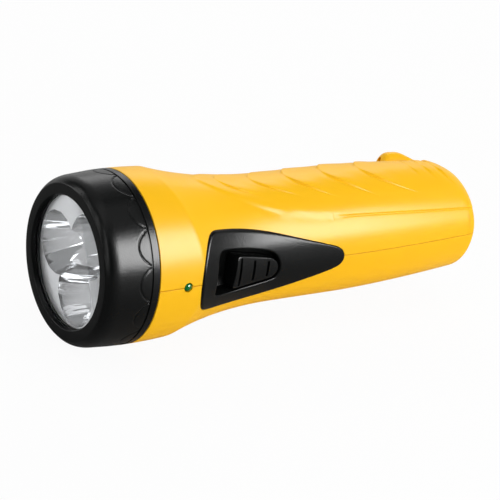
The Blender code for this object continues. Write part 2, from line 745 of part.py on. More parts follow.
def switch_lever():
    tip = SWITCH_TOP_Y + 2 * FIT + LEVER_HEIGHT / 2 - FIT
    half = LEVER_SIZE / 2
    return box("switch_lever", (STEM_X - half, -tip, -half), (STEM_X + half, -(tip - LEVER_HEIGHT), half))


def slide_switch():
    """The bought slide switch, with the slot that its lever runs in."""
    middle = STEM_X - BUTTON_TRAVEL / 2
    low = (middle - SWITCH_LENGTH / 2, -SWITCH_TOP_Y, -SWITCH_WIDTH / 2)
    high = (middle + SWITCH_LENGTH / 2, -(SWITCH_TOP_Y - SWITCH_HEIGHT), SWITCH_WIDTH / 2)
    item = box("slide_switch", low, high)
    half = LEVER_SIZE / 2 + FIT
    slot_low = (STEM_X - half - BUTTON_TRAVEL, -SWITCH_TOP_Y - CUT_OVERRUN, -half)
    return cut(item, box("slot", slot_low, (STEM_X + half, -(SWITCH_TOP_Y - LEVER_HEIGHT / 2 - FIT), half)))


def charging_board():
    low = (CHARGER_START_X, -CHARGER_TOP_Y, -CHARGER_WIDTH / 2)
    return box("charging_board", low, (CHARGER_START_X + CHARGER_LENGTH, -CHARGER_BACK_Y, CHARGER_WIDTH / 2))


def board_place(along_share, across_share):
    """A place on the back of the charging board, with the gap that separate pieces keep."""
    x = CHARGER_START_X + CHARGER_LENGTH * along_share
    return x, -(CHARGER_BACK_Y - FIT), CHARGER_WIDTH * across_share


def board_parts():
    """The dropper capacitor, filter capacitor, rectifier diodes and resistor on the charging board."""
    x, y, z = board_place(0.18, -0.42)
    size = CAPACITOR_SIZE
    items = [box("dropper_capacitor", (x, y, z), (x + size[0], y + size[1], z + size[2]))]
    x, y, z = board_place(0.3, 0.345)
    items.append(rod("filter_capacitor", (x, y, z), (x, y + FILTER_LENGTH, z), FILTER_RADIUS))
    for count in range(DIODE_COUNT):
        x, y, z = board_place(0.26, -0.03)
        x += DIODE_SPACING * count
        start = (x, y + DIODE_RADIUS, z)
        items.append(rod("diode_%d" % (count + 1), start, (x, start[1], z + DIODE_LENGTH), DIODE_RADIUS, 10))
    x, y, z = board_place(0.5, 0.4)
    start = (x, y + RESISTOR_RADIUS, z)
    items.append(rod("resistor", start, (x + RESISTOR_LENGTH, start[1], z), RESISTOR_RADIUS, 10))
    return items


def battery():
    low = (BATTERY_X, -BATTERY_WIDTH / 2, BATTERY_LOW)
    return box("battery", low, (BATTERY_X + BATTERY_LENGTH, BATTERY_WIDTH / 2, BATTERY_TOP))


def battery_tabs():
    middle = (BATTERY_LOW + BATTERY_TOP) / 2
    items = []
    for name, side in (("battery_tab_positive", 1), ("battery_tab_negative", -1)):
        y = side * TAB_SPACING / 2
        low = (BATTERY_X - FIT - TAB_LENGTH, y - TAB_THICKNESS / 2, middle - TAB_WIDTH / 2)
        high = (BATTERY_X - FIT, y + TAB_THICKNESS / 2, middle + TAB_WIDTH / 2)
        items.append(box(name, low, high))
    return items


def inlet():
    """The charging socket: a box behind the tail wall, a neck through it and a recess for the plug."""
    item = box(
        "charging_inlet", (INLET_X, -INLET_WIDTH / 2, -INLET_HEIGHT / 2),
        (INLET_X + INLET_LENGTH, INLET_WIDTH / 2, INLET_HEIGHT / 2),
    )
    neck_end = LENGTH - FIT
    low = (INLET_X + CUT_OVERRUN, -INLET_NECK_WIDTH / 2, -INLET_NECK_HEIGHT / 2)
    join(item, box("neck", low, (neck_end, INLET_NECK_WIDTH / 2, INLET_NECK_HEIGHT / 2)))
    low = (neck_end - SOCKET_DEPTH, -SOCKET_WIDTH / 2, -SOCKET_HEIGHT / 2)
    cut(item, box("socket", low, (neck_end + CUT_OVERRUN, SOCKET_WIDTH / 2, SOCKET_HEIGHT / 2)))
    for side in (-1, 1):
        y = side * PIN_SPACING / 2
        end = (neck_end - SOCKET_DEPTH + CUT_OVERRUN, y, 0)
        cut(item, rod("pin_hole", (INLET_X - CUT_OVERRUN, y, 0), end, PIN_RADIUS + PIN_CLEARANCE))
    return item


def inlet_pins():
    items = []
    for name, side in (("inlet_pin_near", -1), ("inlet_pin_far", 1)):
        y = side * PIN_SPACING / 2
        items.append(rod(name, (INLET_X - PIN_TAIL, y, 0), (LENGTH - FIT - PIN_SETBACK, y, 0), PIN_RADIUS))
    return items


def screws():
    items = []
    for count, (x, y) in enumerate(SCREW_PLACES):
        outline = [(0, 0), (0, SCREW_HEAD_RADIUS), (SCREW_HEAD_HEIGHT, SCREW_HEAD_RADIUS)]
        outline += [(SCREW_HEAD_HEIGHT, SCREW_RADIUS), (SCREW_HEAD_HEIGHT + SCREW_LENGTH, SCREW_RADIUS)]
        outline += [(SCREW_HEAD_HEIGHT + SCREW_LENGTH, 0)]
        item = turned("shell_screw_%d" % (count + 1), outline, BOSS_SEGMENTS)
        items.append(aimed(item, (x, y, -SCREW_SINK - FIT - SCREW_HEAD_HEIGHT), (0, 0, 1)))
    return items


def shell_plate(shell, side, x, thickness, window):
    """A rib across one shell, from its wall to just short of the parting face, with a window."""
    reach = min(body_radius(x, pi / 2), body_radius(x + thickness, 0)) - WALL / 2
    outline = [(x, 0), (x, reach), (x + thickness, reach), (x + thickness, 0)]
    plate = turned("plate", outline, 2 * HALF_SEGMENTS, pi / (3 * HALF_SEGMENTS))
    low = (x - WALL, -2 * reach, -2 * reach if side > 0 else -FIT)
    high = (x + WALL + thickness, 2 * reach, FIT if side > 0 else 2 * reach)
    cut(plate, box("other_side", low, high))
    cut(plate, window)
    return join(shell, plate)


def round_window(x, radius):
    return rod("window", (x - WALL, 0, 0), (x + 2 * WALL, 0, 0), radius)


def box_window(x, half_width, low, high):
    return box("window", (x - WALL, -half_width, low), (x + 2 * WALL, half_width, high))


def boss(shell, side, place, radius):
    """A screw boss from the shell's wall to just short of the parting face."""
    x, y = place
    start = (x, y, side * FIT)
    post = rod("boss", start, (x, y, side * HEAD_RADIUS), radius)
    common(post, skin("wall_middle", -WALL / 2, x - 2 * radius, x + 2 * radius))
    return join(shell, post)


def board_rails(shell, side):
    """Two grooved blocks that hold one edge of the charging board."""
    edge = side * (CHARGER_WIDTH / 2 - RAIL_GRIP)
    near = CHARGER_TOP_Y + RAIL_WIDTH / 2 - BOARD_THICKNESS / 2
    far = near - RAIL_WIDTH
    rail_shares = (0.08, 0.88)
    for share in rail_shares:
        x = CHARGER_START_X + CHARGER_LENGTH * share
        reach = side * sqrt((body_radius(x + RAIL_LENGTH, pi / 2) - WALL / 2) ** 2 - near ** 2)
        low = (x, -near, min(edge, reach))
        join(shell, box("rail", low, (x + RAIL_LENGTH, -far, max(edge, reach))))
    slot_edge = side * (CHARGER_WIDTH / 2 + FIT)
    low = (CHARGER_START_X - FIT, -(CHARGER_TOP_Y + FIT), min(0, slot_edge))
    high = (CHARGER_START_X + CHARGER_LENGTH + FIT, -(CHARGER_BACK_Y - FIT), max(0, slot_edge))
    return cut(shell, box("slot", low, high))


def cord_lug():
    """The low eye on the far side of the tail, steep in front and drawn out behind."""
    rise_shares = ((0.0, 0.0), (0.05, 0.42), (0.14, 0.78), (0.28, 0.97), (0.42, 1.0),
                   (0.56, 0.9), (0.7, 0.6), (0.84, 0.26), (1.0, 0.0))
    outward = Vector((0, -cos(LUG_ANGLE), sin(LUG_ANGLE)))
    across = Vector((0, sin(LUG_ANGLE), cos(LUG_ANGLE)))
    segments = 10
    foot_share = 0.62
    crown_curve = 0.7
    points = []
    for along, rise in rise_shares:
        x = LUG_X + LUG_LENGTH * (along - 0.5)
        base = body_radius(x, LUG_ANGLE) - WALL / 2
        width = LUG_WIDTH * (foot_share + (1 - foot_share) * sqrt(rise)) / 2
        height = WALL / 2 + LUG_HEIGHT * rise
        for step in range(segments + 1):
            angle = pi * step / segments
            point = outward * (base + height * sin(angle) ** crown_curve) + across * (width * cos(angle))
            points.append((x, point.y, point.z))
    width = segments + 1
    rows = len(rise_shares)
    faces = [list(range(width)), list(range((rows - 1) * width, rows * width))]
    for row in range(rows - 1):
        first = row * width
        for corner in range(first, first + segments):
            faces.append((corner, corner + 1, corner + width + 1, corner + width))
        faces.append((first, first + width, first + 2 * width - 1, first + width - 1))
    return solid("lug", points, faces)


def lug_hole():
    """The eye's hole, which runs lengthwise just above the shell."""
    outward = Vector((0, -cos(LUG_ANGLE), sin(LUG_ANGLE)))
    ends = []
    for x in (LUG_X - LUG_LENGTH / 2 - CUT_OVERRUN, LUG_X + LUG_LENGTH / 2 + CUT_OVERRUN):
        ends.append(Vector((x, 0, 0)) + outward * (body_radius(x, LUG_ANGLE) + LUG_HOLE_RISE))
    return rod("lug_hole", ends[0], ends[1], LUG_HOLE_RADIUS)


def open_shell(shell):
    """Cut what passes through a shell's wall: the panel's seat, the indicator and the inlet."""
    near = -(HEAD_RADIUS + WALL)
    seat = prism("seat", panel_outline(FIT), near, -(TRAY_UNDER_Y - WALL))
    cut(seat, panel_skin("seat_floor", -PANEL_SINK - FIT))
    cut(shell, seat)
    cut(shell, prism("tray_hole", window_outline(TRAY_WALL + FIT), near, -(TRAY_UNDER_Y - WALL)))
    lamp_radius = INDICATOR_RADIUS + FIT / 2
    cut(shell, rod("lamp_hole", (INDICATOR_X, near, 0), (INDICATOR_X, near / 2, 0), lamp_radius))
    half_width = INLET_NECK_WIDTH / 2 + FIT
    half_height = INLET_NECK_HEIGHT / 2 + FIT
    low = (TAIL_INSIDE_X - CUT_OVERRUN, -half_width, -half_height)
    return cut(shell, box("inlet_hole", low, (LENGTH + CUT_OVERRUN, half_width, half_height)))


def inlet_ribs(shell, side):
    """Two ribs that seat the charging inlet."""
    rib_shares = (0.15, 0.7)
    for share in rib_shares:
        x = INLET_X + INLET_LENGTH * share
        window = box_window(x, INLET_WIDTH / 2 + FIT, -INLET_HEIGHT / 2 - FIT, INLET_HEIGHT / 2 + FIT)
        shell_plate(shell, side, x, RIB_THICKNESS, window)


def upper_shell():
    shell = half_body("upper_shell", upper_stations(), 1)
    join(shell, cord_lug())
    cut(shell, cavity())
    board_rails(shell, 1)
    for place in SCREW_PLACES:
        boss(shell, 1, place, SCREW_RADIUS + FIT + BOSS_WALL)
    for x in (BATTERY_X + CRADLE_INSET, BATTERY_X + BATTERY_LENGTH - CRADLE_INSET):
        for side in (-1, 1):
            y = side * HOLD_RIB_OFFSET
            top = sqrt((body_radius(x, pi / 2) - WALL / 2) ** 2 - (HOLD_RIB_OFFSET + HOLD_RIB_WIDTH / 2) ** 2)
            low = (x, y - HOLD_RIB_WIDTH / 2, BATTERY_TOP + FIT)
            join(shell, box("hold_rib", low, (x + RIB_THICKNESS, y + HOLD_RIB_WIDTH / 2, top)))
    inlet_ribs(shell, 1)
    open_shell(shell)
    cut(shell, lug_hole())
    pilot_end = SCREW_LENGTH - SCREW_SINK + FIT
    for x, y in SCREW_PLACES:
        cut(shell, rod("pilot", (x, y, -CUT_OVERRUN), (x, y, pilot_end), SCREW_RADIUS + FIT))
    return shell


def lower_shell():
    shell = half_body("lower_shell", lower_stations(), -1)
    cut(shell, cavity())
    board_rails(shell, -1)
    for x in (BATTERY_X + CRADLE_INSET, BATTERY_X + BATTERY_LENGTH - CRADLE_INSET):
        window = box_window(x, BATTERY_WIDTH / 2 + FIT, BATTERY_LOW - FIT, BATTERY_TOP)
        shell_plate(shell, -1, x, RIB_THICKNESS, window)
    for x in (BATTERY_X - FIT - RIB_THICKNESS, BATTERY_X + BATTERY_LENGTH + FIT):
        shell_plate(shell, -1, x, RIB_THICKNESS, round_window(x, STOP_WINDOW_RADIUS))
    for place in SCREW_PLACES:
        boss(shell, -1, place, SCREW_HEAD_RADIUS + FIT + BOSS_WALL)
    inlet_ribs(shell, -1)
    open_shell(shell)
    for x, y in SCREW_PLACES:
        cut(shell, rod("counterbore", (x, y, -HEAD_RADIUS), (x, y, -SCREW_SINK), SCREW_HEAD_RADIUS + FIT))
        start = (x, y, -SCREW_SINK - CUT_OVERRUN)
        cut(shell, rod("screw_hole", start, (x, y, CUT_OVERRUN), SCREW_RADIUS + FIT))
    return shell


def wire(name, route, radius):
    """A wire along a smooth curve through its route's points."""
    points = [Vector(point) for point in route]
    step_length = 8 * radius
    ends = [points[0] * 2 - points[1]] + points + [points[-1] * 2 - points[-2]]
    path = []
    for first, start, end, last in zip(ends, ends[1:], ends[2:], ends[3:]):
        steps = max(2, round((end - start).length / step_length))
        for step in range(steps):
            t = step / steps
            square = 2 * first - 5 * start + 4 * end - last
            cube = 3 * start - first - 3 * end + last
            path.append(start + ((end - first) * t + square * t ** 2 + cube * t ** 3) / 2)
    path.append(points[-1])
    curve = bpy.data.curves.new(name, "CURVE")
    curve.dimensions = "3D"
    curve.bevel_depth = radius
    curve.bevel_resolution = 1
    curve.use_fill_caps = True
    line = curve.splines.new("POLY")
    line.points.add(len(path) - 1)
    for point, place in zip(line.points, path):
        point.co = (*place, 1)
    item = bpy.data.objects.new(name, curve)
    bpy.context.collection.objects.link(item)
    return item


def wires():
    """The leads between the boards, battery and inlet, each along its own route."""
    items = []
    for name, side in (("indicator_lead_upper", 1), ("indicator_lead_lower", -1)):
        z = side * LEAD_SPACING / 2
        start = INDICATOR_LENGTH + FIT - INDICATOR_PROUD - body_radius(INDICATOR_X, 0)
        end = (CHARGER_START_X - FIT, -(CHARGER_TOP_Y + CHARGER_BACK_Y) / 2, z)
        route = [(INDICATOR_X, start, z), (0.0293, -0.0200, z), (0.0325, -0.0138, z)]
        route += [(0.0370, -0.0102, z), end]
        items.append((wire(name, route, LEAD_RADIUS), "tin"))
    board_back = -(CHARGER_BACK_Y - FIT)
    lamp_back = LED_BOARD_X + BOARD_THICKNESS + FIT
    for name, side, finish in (("lamp_lead_positive", 1, "red"), ("lamp_lead_negative", -1, "black_wire")):
        route = [
            (lamp_back, -0.0030, side * 0.0025), (0.0270, -0.0032, side * 0.0026),
            (0.0350, -0.0042, side * 0.0028), (0.0415, -0.0060, side * 0.0029),
            (0.0438, board_back, side * 0.0030),
        ]
        items.append((wire(name, route, WIRE_RADIUS), finish))
    tab_end = BATTERY_X - FIT - TAB_LENGTH - FIT
    tab_z = (BATTERY_LOW + BATTERY_TOP) / 2
    route = [(tab_end, TAB_SPACING / 2, tab_z), (0.0668, 0.0046, -0.0038), (0.0657, 0.0010, -0.0042),
             (0.0659, -0.0045, -0.0044), (0.0662, board_back, -0.0045)]
    items.append((wire("battery_lead_positive", route, WIRE_RADIUS), "red"))
    route = [(tab_end, -TAB_SPACING / 2, tab_z), (0.0672, -0.0052, -0.0046), (0.0664, -0.0062, -0.0070),
             (0.0664, board_back, -0.0078)]
    items.append((wire("battery_lead_negative", route, WIRE_RADIUS), "black_wire"))
    pin_end = INLET_X - PIN_TAIL - FIT
    over = BATTERY_TOP + WIRE_RADIUS + FIT
    route = [(pin_end, -PIN_SPACING / 2, 0), (0.1305, -0.0040, 0.0014), (0.1280, -0.0034, 0.0050),
             (0.1240, -0.0030, over), (0.1000, -0.0030, over), (0.0780, -0.0030, over),
             (0.0730, -0.0042, 0.0058), (0.0700, -0.0068, 0.0040), (0.0692, board_back, 0.0034)]
    items.append((wire("inlet_lead_near", route, WIRE_RADIUS), "brown"))
    route = [(pin_end, PIN_SPACING / 2, 0), (0.1305, 0.0040, 0.0014), (0.1280, 0.0034, 0.0050),
             (0.1240, 0.0030, over), (0.1000, 0.0030, over), (0.0780, 0.0030, over),
             (0.0725, 0.0015, 0.0075), (0.0690, -0.0045, 0.0085), (0.0682, board_back, 0.0088)]
    items.append((wire("inlet_lead_far", route, WIRE_RADIUS), "brown"))
    return items


def build():
    for item in list(bpy.data.objects):
        bpy.data.objects.remove(item)
    finishes = {
        "yellow": material("yellow_plastic", YELLOW, 0.35),
        "black": material("black_plastic", BLACK, 0.4),
        "rubber": material("black_rubber", RUBBER, 0.7),
        "chrome": material("chromed_plastic", CHROME, 0.08, 1.0),
        "clear": material("clear_plastic", CLEAR, 0.05),
        "green": material("green_lamp", GREEN, 0.15),
        "board": material("circuit_board", BOARD_GREEN, 0.5),
        "tin": material("tinned_metal", TIN, 0.3, 1.0),
        "grey": material("grey_case", GREY, 0.5),
        "red": material("red_wire", RED, 0.5),
        "black_wire": material("black_wire", RUBBER, 0.5),
        "brown": material("brown_film", BROWN, 0.4),
    }
    axis = bpy.data.objects.new("torch_axis", None)
    bpy.context.collection.objects.link(axis)
    axis.location = (-LENGTH / 2, 0, HEAD_RADIUS)
    pieces = [(upper_shell(), "yellow"), (lower_shell(), "yellow"), (bezel_ring(), "black")]
    pieces += [(lens(), "clear"), (lens_gasket(), "rubber"), (reflector(), "chrome")]
    pieces += [(item, "clear") for item in main_lamps()]
    pieces += [(led_board(), "board"), (indicator_led(), "green"), (switch_panel(), "black")]
    pieces += [(switch_button(), "black"), (switch_lever(), "black"), (slide_switch(), "tin")]
    pieces += [(charging_board(), "board"), (battery(), "grey"), (inlet(), "black")]
    pieces += list(zip(board_parts(), ("brown", "grey", "black", "black", "black", "black", "brown")))
    pieces += [(item, "tin") for item in battery_tabs() + inlet_pins() + screws()]
    pieces += wires()
    for item, finish in pieces:
        if item.type == "MESH":
            finished(item, axis, finishes[finish])
        else:
            item.data.materials.append(finishes[finish])
            item.parent = axis


build()
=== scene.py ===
"""Finishes of a rechargeable LED torch, laid out as a Blender add-on.

The torch lies along X with its lens towards -X, its thumb switch towards -Y and the ribbed crest
of its grip towards +Z. Places along it are counted in metres from the bezel's front lip, and
angles round it run from -Y (0) over the crest (90 degrees) to +Y.
"""

import json
from math import asin, atan2, cos, degrees, exp, hypot, pi, radians, sin, sqrt

import bmesh
import bpy
from bpy.props import FloatProperty, FloatVectorProperty, PointerProperty
from mathutils import Matrix, Vector


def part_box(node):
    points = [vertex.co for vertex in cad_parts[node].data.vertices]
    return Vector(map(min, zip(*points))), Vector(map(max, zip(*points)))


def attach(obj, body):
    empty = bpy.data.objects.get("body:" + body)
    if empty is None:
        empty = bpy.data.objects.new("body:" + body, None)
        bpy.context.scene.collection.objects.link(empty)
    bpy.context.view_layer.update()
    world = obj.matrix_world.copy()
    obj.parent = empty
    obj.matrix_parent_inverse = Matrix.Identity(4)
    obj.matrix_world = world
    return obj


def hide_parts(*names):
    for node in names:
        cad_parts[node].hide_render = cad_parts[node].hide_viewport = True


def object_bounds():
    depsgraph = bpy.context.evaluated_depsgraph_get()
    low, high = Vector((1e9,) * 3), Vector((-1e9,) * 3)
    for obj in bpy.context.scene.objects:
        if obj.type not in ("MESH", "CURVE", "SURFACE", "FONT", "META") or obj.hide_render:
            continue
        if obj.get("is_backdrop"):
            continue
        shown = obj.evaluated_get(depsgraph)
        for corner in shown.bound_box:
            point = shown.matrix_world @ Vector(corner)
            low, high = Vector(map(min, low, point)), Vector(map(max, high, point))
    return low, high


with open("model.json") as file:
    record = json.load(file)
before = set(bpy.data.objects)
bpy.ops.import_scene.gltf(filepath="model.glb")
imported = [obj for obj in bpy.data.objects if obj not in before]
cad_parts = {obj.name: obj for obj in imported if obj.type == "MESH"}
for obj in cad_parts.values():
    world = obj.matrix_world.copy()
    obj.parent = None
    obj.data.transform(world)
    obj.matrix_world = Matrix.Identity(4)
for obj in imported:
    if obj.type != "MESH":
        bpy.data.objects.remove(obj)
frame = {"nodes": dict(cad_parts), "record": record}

bl_info = {
    "name": "Torch finishes",
    "version": (1, 0),
    "blender": (4, 5, 0),
    "location": "View3D > Sidebar > Torch",
    "description": "Models the visible pieces of an LED torch on its frame and gives them their finishes",
    "category": "Object",
}

MM = 0.001
CAD_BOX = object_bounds()

# Places that come from the frame
BEZEL_LOW, BEZEL_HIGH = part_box("bezel_ring")
LENS_LOW, LENS_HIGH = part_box("lens")
GASKET_LOW, GASKET_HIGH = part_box("lens_gasket")
REFLECTOR_LOW, REFLECTOR_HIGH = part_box("reflector")
SHELL_LOW, SHELL_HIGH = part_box("lower_shell")
PANEL_LOW, PANEL_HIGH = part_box("switch_panel")
BUTTON_LOW, BUTTON_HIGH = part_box("switch_button")
INLET_LOW, INLET_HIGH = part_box("charging_inlet")
INDICATOR_LOW, INDICATOR_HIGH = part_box("indicator_led")
FRONT_X = BEZEL_LOW[0]
AXIS_Z = (BEZEL_LOW[2] + BEZEL_HIGH[2]) / 2
HEAD_RADIUS = (BEZEL_HIGH[2] - BEZEL_LOW[2]) / 2
LENGTH = SHELL_HIGH[0] - FRONT_X
BEZEL_DEPTH = BEZEL_HIGH[0] - FRONT_X
COLLAR_X = SHELL_LOW[0] - FRONT_X

# Body surface
FIT = 0.3 * MM
FLARE_X = BEZEL_DEPTH + FIT
COLLAR_RADIUS = 25.2 * MM
COLLAR_BORE = 23.0 * MM
ARRIS_RADIUS = 27.7 * MM
ARRIS_TOP_X = 28.9 * MM
ARRIS_SIDE_X = 34.5 * MM
ARRIS_ROUND = 1.4 * MM
HANDLE_X = 75.9 * MM
HANDLE_RADIUS = 21.3 * MM
NECK_CURVE = 2.25
TAPER_X = 100 * MM
TAPER_CURVE = 1.6
TAIL_RADIUS = 18.3 * MM
TAIL_TOP_ROUND = 13.5 * MM
TAIL_TOP_DROP = 4 * MM
TAIL_LOW_ROUND = 2 * MM
TAIL_LOW_DROP = 1.9 * MM
WALL = 2.4 * MM
SEAM_EDGE = 0.25 * MM

# Grip pad and side band
GRIP_START_X = 43.4 * MM
GRIP_SPAN = 51.6 * MM
GRIP_ANGLE = 54.5
GRIP_CURVE = 0.7
GRIP_DRIFT = 0.14 / MM
BAND_START_X = 58 * MM
BAND_SPAN = 34 * MM

# Cord lug and screws
LUG_X = LENGTH - 13.6 * MM
LUG_LENGTH = 16.5 * MM
LUG_WIDTH = 8.5 * MM
LUG_HEIGHT = 4.25 * MM
LUG_ANGLE = 131
LUG_HOLE_RADIUS = 1.1 * MM
LUG_HOLE_RISE = 1.7 * MM
SCREW_PLACES = ((37 * MM, 14.5 * MM), (69.8 * MM, 11.5 * MM), (LENGTH - 21 * MM, 10.5 * MM))
SCREW_SINK = 6 * MM
SCREW_BORE = 3.05 * MM

# Switch panel
PANEL_PROUD = 0.6 * MM
PANEL_START_X = 35.7 * MM
PANEL_LENGTH = 58.4 * MM
PANEL_HEIGHT = 27.5 * MM
TRAY_WALL = 1.2 * MM
TRAY_FLOOR_Y = 18.6 * MM
WINDOW_START_X = 41.8 * MM
WINDOW_LENGTH = 25.9 * MM
WINDOW_HEIGHT = 15.5 * MM
BUTTON_TRAVEL = 4.5 * MM

# Reflector
REFLECTOR_FACE_X = 4.0 * MM
REFLECTOR_RADIUS = 21.2 * MM
CUP_RADIUS = 10.4 * MM
CUP_OFFSET = 10.5 * MM
CUP_DEPTH = 14 * MM
CUP_TURN = 18
CUP_SKIN = 1.6 * MM
CUP_FACETS = 16
CUP_FACET_SHARE = 0.7

# Camera, fitted to the photograph
CAMERA_PLACE = Vector((-0.40573, -0.53970, 0.30560))
CAMERA_TARGET = Vector((-0.006, 0, 0.02815))
CAMERA_ROLL = -0.144
FRAME_PIXELS = 500
FOCAL_PIXELS = 2200
SHIFT_PIXELS = (-0.523, -11.828)
SENSOR = 36


class TorchSizes(bpy.types.PropertyGroup):
    """Small sizes that finish the torch's surfaces."""

    pad_lift: FloatProperty(
        name="Pad lift", description="How far the grip pad stands above the body", default=0.35 * MM, unit="LENGTH")
    rib_height: FloatProperty(
        name="Rib height", description="Step at the front of each grip rib", default=0.58 * MM, unit="LENGTH")
    groove_depth: FloatProperty(
        name="Groove depth", description="Depth of the line under the grip pad", default=0.14 * MM, unit="LENGTH")
    band_bulge: FloatProperty(
        name="Band bulge", description="Bulge of the side band under the pad", default=0.3 * MM, unit="LENGTH")
    seam_gap: FloatProperty(
        name="Seam gap", description="Half the gap between the two shells", default=0.09 * MM, unit="LENGTH")
    scallop_depth: FloatProperty(
        name="Scallop depth", description="Depth of the arcs round the bezel", default=0.26 * MM, unit="LENGTH")


class TorchColours(bpy.types.PropertyGroup):
    """Colours of the torch's finishes."""

    body: FloatVectorProperty(
        name="Body", description="Yellow of the shells", subtype="COLOR", size=4, default=(0.95, 0.51, 0.008, 1))
    black: FloatVectorProperty(
        name="Black", description="Black of bezel and switch", subtype="COLOR", size=4, default=(0.003, 0.0034, 0.0034, 1))
    chrome: FloatVectorProperty(
        name="Chrome", description="Metal of the reflector", subtype="COLOR", size=4, default=(0.46, 0.465, 0.47, 1))
    lamp: FloatVectorProperty(
        name="Indicator", description="Green of the charge lamp", subtype="COLOR", size=4, default=(0.0, 0.11, 0.02, 1))


# Places and curves

def at(x, radius, angle):
    """A point at a distance from the front lip, a radius and an angle in degrees."""
    turn = radians(angle)
    return Vector((FRONT_X + x, -radius * cos(turn), AXIS_Z + radius * sin(turn)))


def smooth(value):
    value = min(1.0, max(0.0, value))
    return value * value * (3 - 2 * value)


def between(value, table):
    """A value read from a table of (place, value) pairs, with straight lines between them."""
    if value <= table[0][0]:
        return table[0][1]
    for (low, first), (high, second) in zip(table, table[1:]):
        if value <= high:
            return first + (second - first) * (value - low) / (high - low)
    return table[-1][1]


def tail_round(x, up):
    """How far the surface has drawn in at the tail's rounded end; up is 1 at the crest."""
    reach = TAIL_LOW_ROUND + (TAIL_TOP_ROUND - TAIL_LOW_ROUND) * up
    drop = TAIL_LOW_DROP + (TAIL_TOP_DROP - TAIL_LOW_DROP) * up
    along = min(1.0, (x - (LENGTH - reach)) / reach)
    if along <= 0:
        return 0.0
    return drop * (1 - sqrt(max(0.0, 1 - along ** 2)))


def plain_radius(x, angle):
    """Radius of the body without its pad, band and ribs."""
    turn = radians(angle)
    arris = ARRIS_TOP_X + (ARRIS_SIDE_X - ARRIS_TOP_X) * cos(turn) ** 2
    along = max(0.0, (x - FLARE_X) / (arris - FLARE_X))
    head = HEAD_RADIUS - (HEAD_RADIUS - ARRIS_RADIUS) * along ** 2
    if x > HANDLE_X:
        along = min(1.0, max(0.0, (x - TAPER_X) / (LENGTH - TAPER_X)))
        plain = HANDLE_RADIUS - (HANDLE_RADIUS - TAIL_RADIUS) * along ** TAPER_CURVE
        return plain - tail_round(x, max(0.0, sin(turn)) ** 2)
    along = (HANDLE_X - x) / (HANDLE_X - arris)
    neck = HANDLE_RADIUS + (ARRIS_RADIUS - HANDLE_RADIUS) * along ** NECK_CURVE
    share = smooth((x - arris) / (2 * ARRIS_ROUND) + 0.5)
    return head * (1 - share) + neck * share


RIB_TABLE = (
    # crest place, height share, angle from the crest where it has faded
    (53.2, 0.75, 30), (66.4, 0.9, 33), (80.4, 1.0, 38), (95.2, 1.0, 41), (110.3, 0.95, 42),
    (132.0, 0.7, 22), (137.5, 0.8, 28), (142.7, 0.85, 38),
)
SWEEP_TABLE = (
    # crest place, sweep in mm per square degree from the crest
    (36.0, 0.0), (45.0, 0.011), (53.2, 0.018), (66.4, 0.0155), (80.4, 0.0108), (95.2, 0.0102),
    (110.3, 0.011), (122.0, 0.0055), (132.0, 0.0022), (142.7, 0.003), (146.0, 0.001), (148.0, 0.0),
)
SWEEP_LIMIT = 45


def swept(crest, lean):
    """Where the line that crosses the crest at a place runs at an angle from the crest."""
    return crest + between(crest / MM, SWEEP_TABLE) * MM * min(lean, SWEEP_LIMIT) ** 2


def rib_rise(crest, lean, height):
    """The saw-tooth of the grip ribs: a short step up, then a long run down towards the tail."""
    total = 0.0
    for place, share, fade in RIB_TABLE:
        t = crest / MM - place
        if t < -2.5 or t > 11:
            continue
        strength = share * smooth((fade - lean) / (0.75 * fade)) * (0.25 + 0.9 * smooth(lean / 17))
        step = smooth((t + 0.35) / 0.8)
        dip = -0.45 * smooth((t + 2.5) / 2.1) * (1 - step)
        run = step * (1 - smooth((t - 0.45) / 9))
        total += strength * height * (run * 0.75 + dip)
    return total


def grip_edge(x):
    """The angle from the crest of the line that bounds the grip pad."""
    along = min(1.0, max(0.0, (x - GRIP_START_X) / GRIP_SPAN))
    return GRIP_ANGLE * (1 - (1 - along) ** 2) ** GRIP_CURVE + max(0.0, x - GRIP_START_X - GRIP_SPAN) * GRIP_DRIFT


def pad_and_band(x, lean, sizes):
    """Rise of the pad inside its line, the groove along the line and the band below it."""
    if x < GRIP_START_X - WALL:
        return 0.0
    below = lean - grip_edge(x)
    growth = smooth((x - BAND_START_X) / BAND_SPAN)
    end = smooth((LENGTH - x) / (2 * WALL))
    sharp = smooth((x - GRIP_START_X - 9 * MM) / (20 * MM))
    edge = 6.5 - 4.6 * sharp
    lift = sizes.pad_lift * (0.35 + 0.65 * smooth((below + 19) / 14)) * (1 - smooth((below + edge) / edge))
    lift *= smooth((x - GRIP_START_X + WALL) / (2 * WALL))
    groove = sizes.groove_depth * exp(-(below / 0.85) ** 2) * sharp
    band = sizes.band_bulge * (1 - max(0.0, 1 - max(below, 0.0) / 20) ** 2)
    band *= (1 - smooth((below - 18) / 30)) * growth
    return (lift - groove + band) * (0.35 + 0.65 * end)


# Mesh helpers

def deselected():
    if bpy.context.object and bpy.context.object.mode != "OBJECT":
        bpy.ops.object.mode_set(mode="OBJECT")
    bpy.ops.object.select_all(action="DESELECT")


def named(name):
    item = bpy.context.object
    item.name = name
    item.data.name = name
    return item


def mapped_grid(name, columns, rows, place):
    """A grid primitive whose points move to place(column, row)."""
    deselected()
    bpy.ops.mesh.primitive_grid_add(x_subdivisions=columns, y_subdivisions=rows, size=1)
    item = named(name)
    for point in item.data.vertices:
        column = round((point.co.x + 0.5) * columns)
        row = round((point.co.y + 0.5) * rows)
        point.co = place(column, row)
    return item


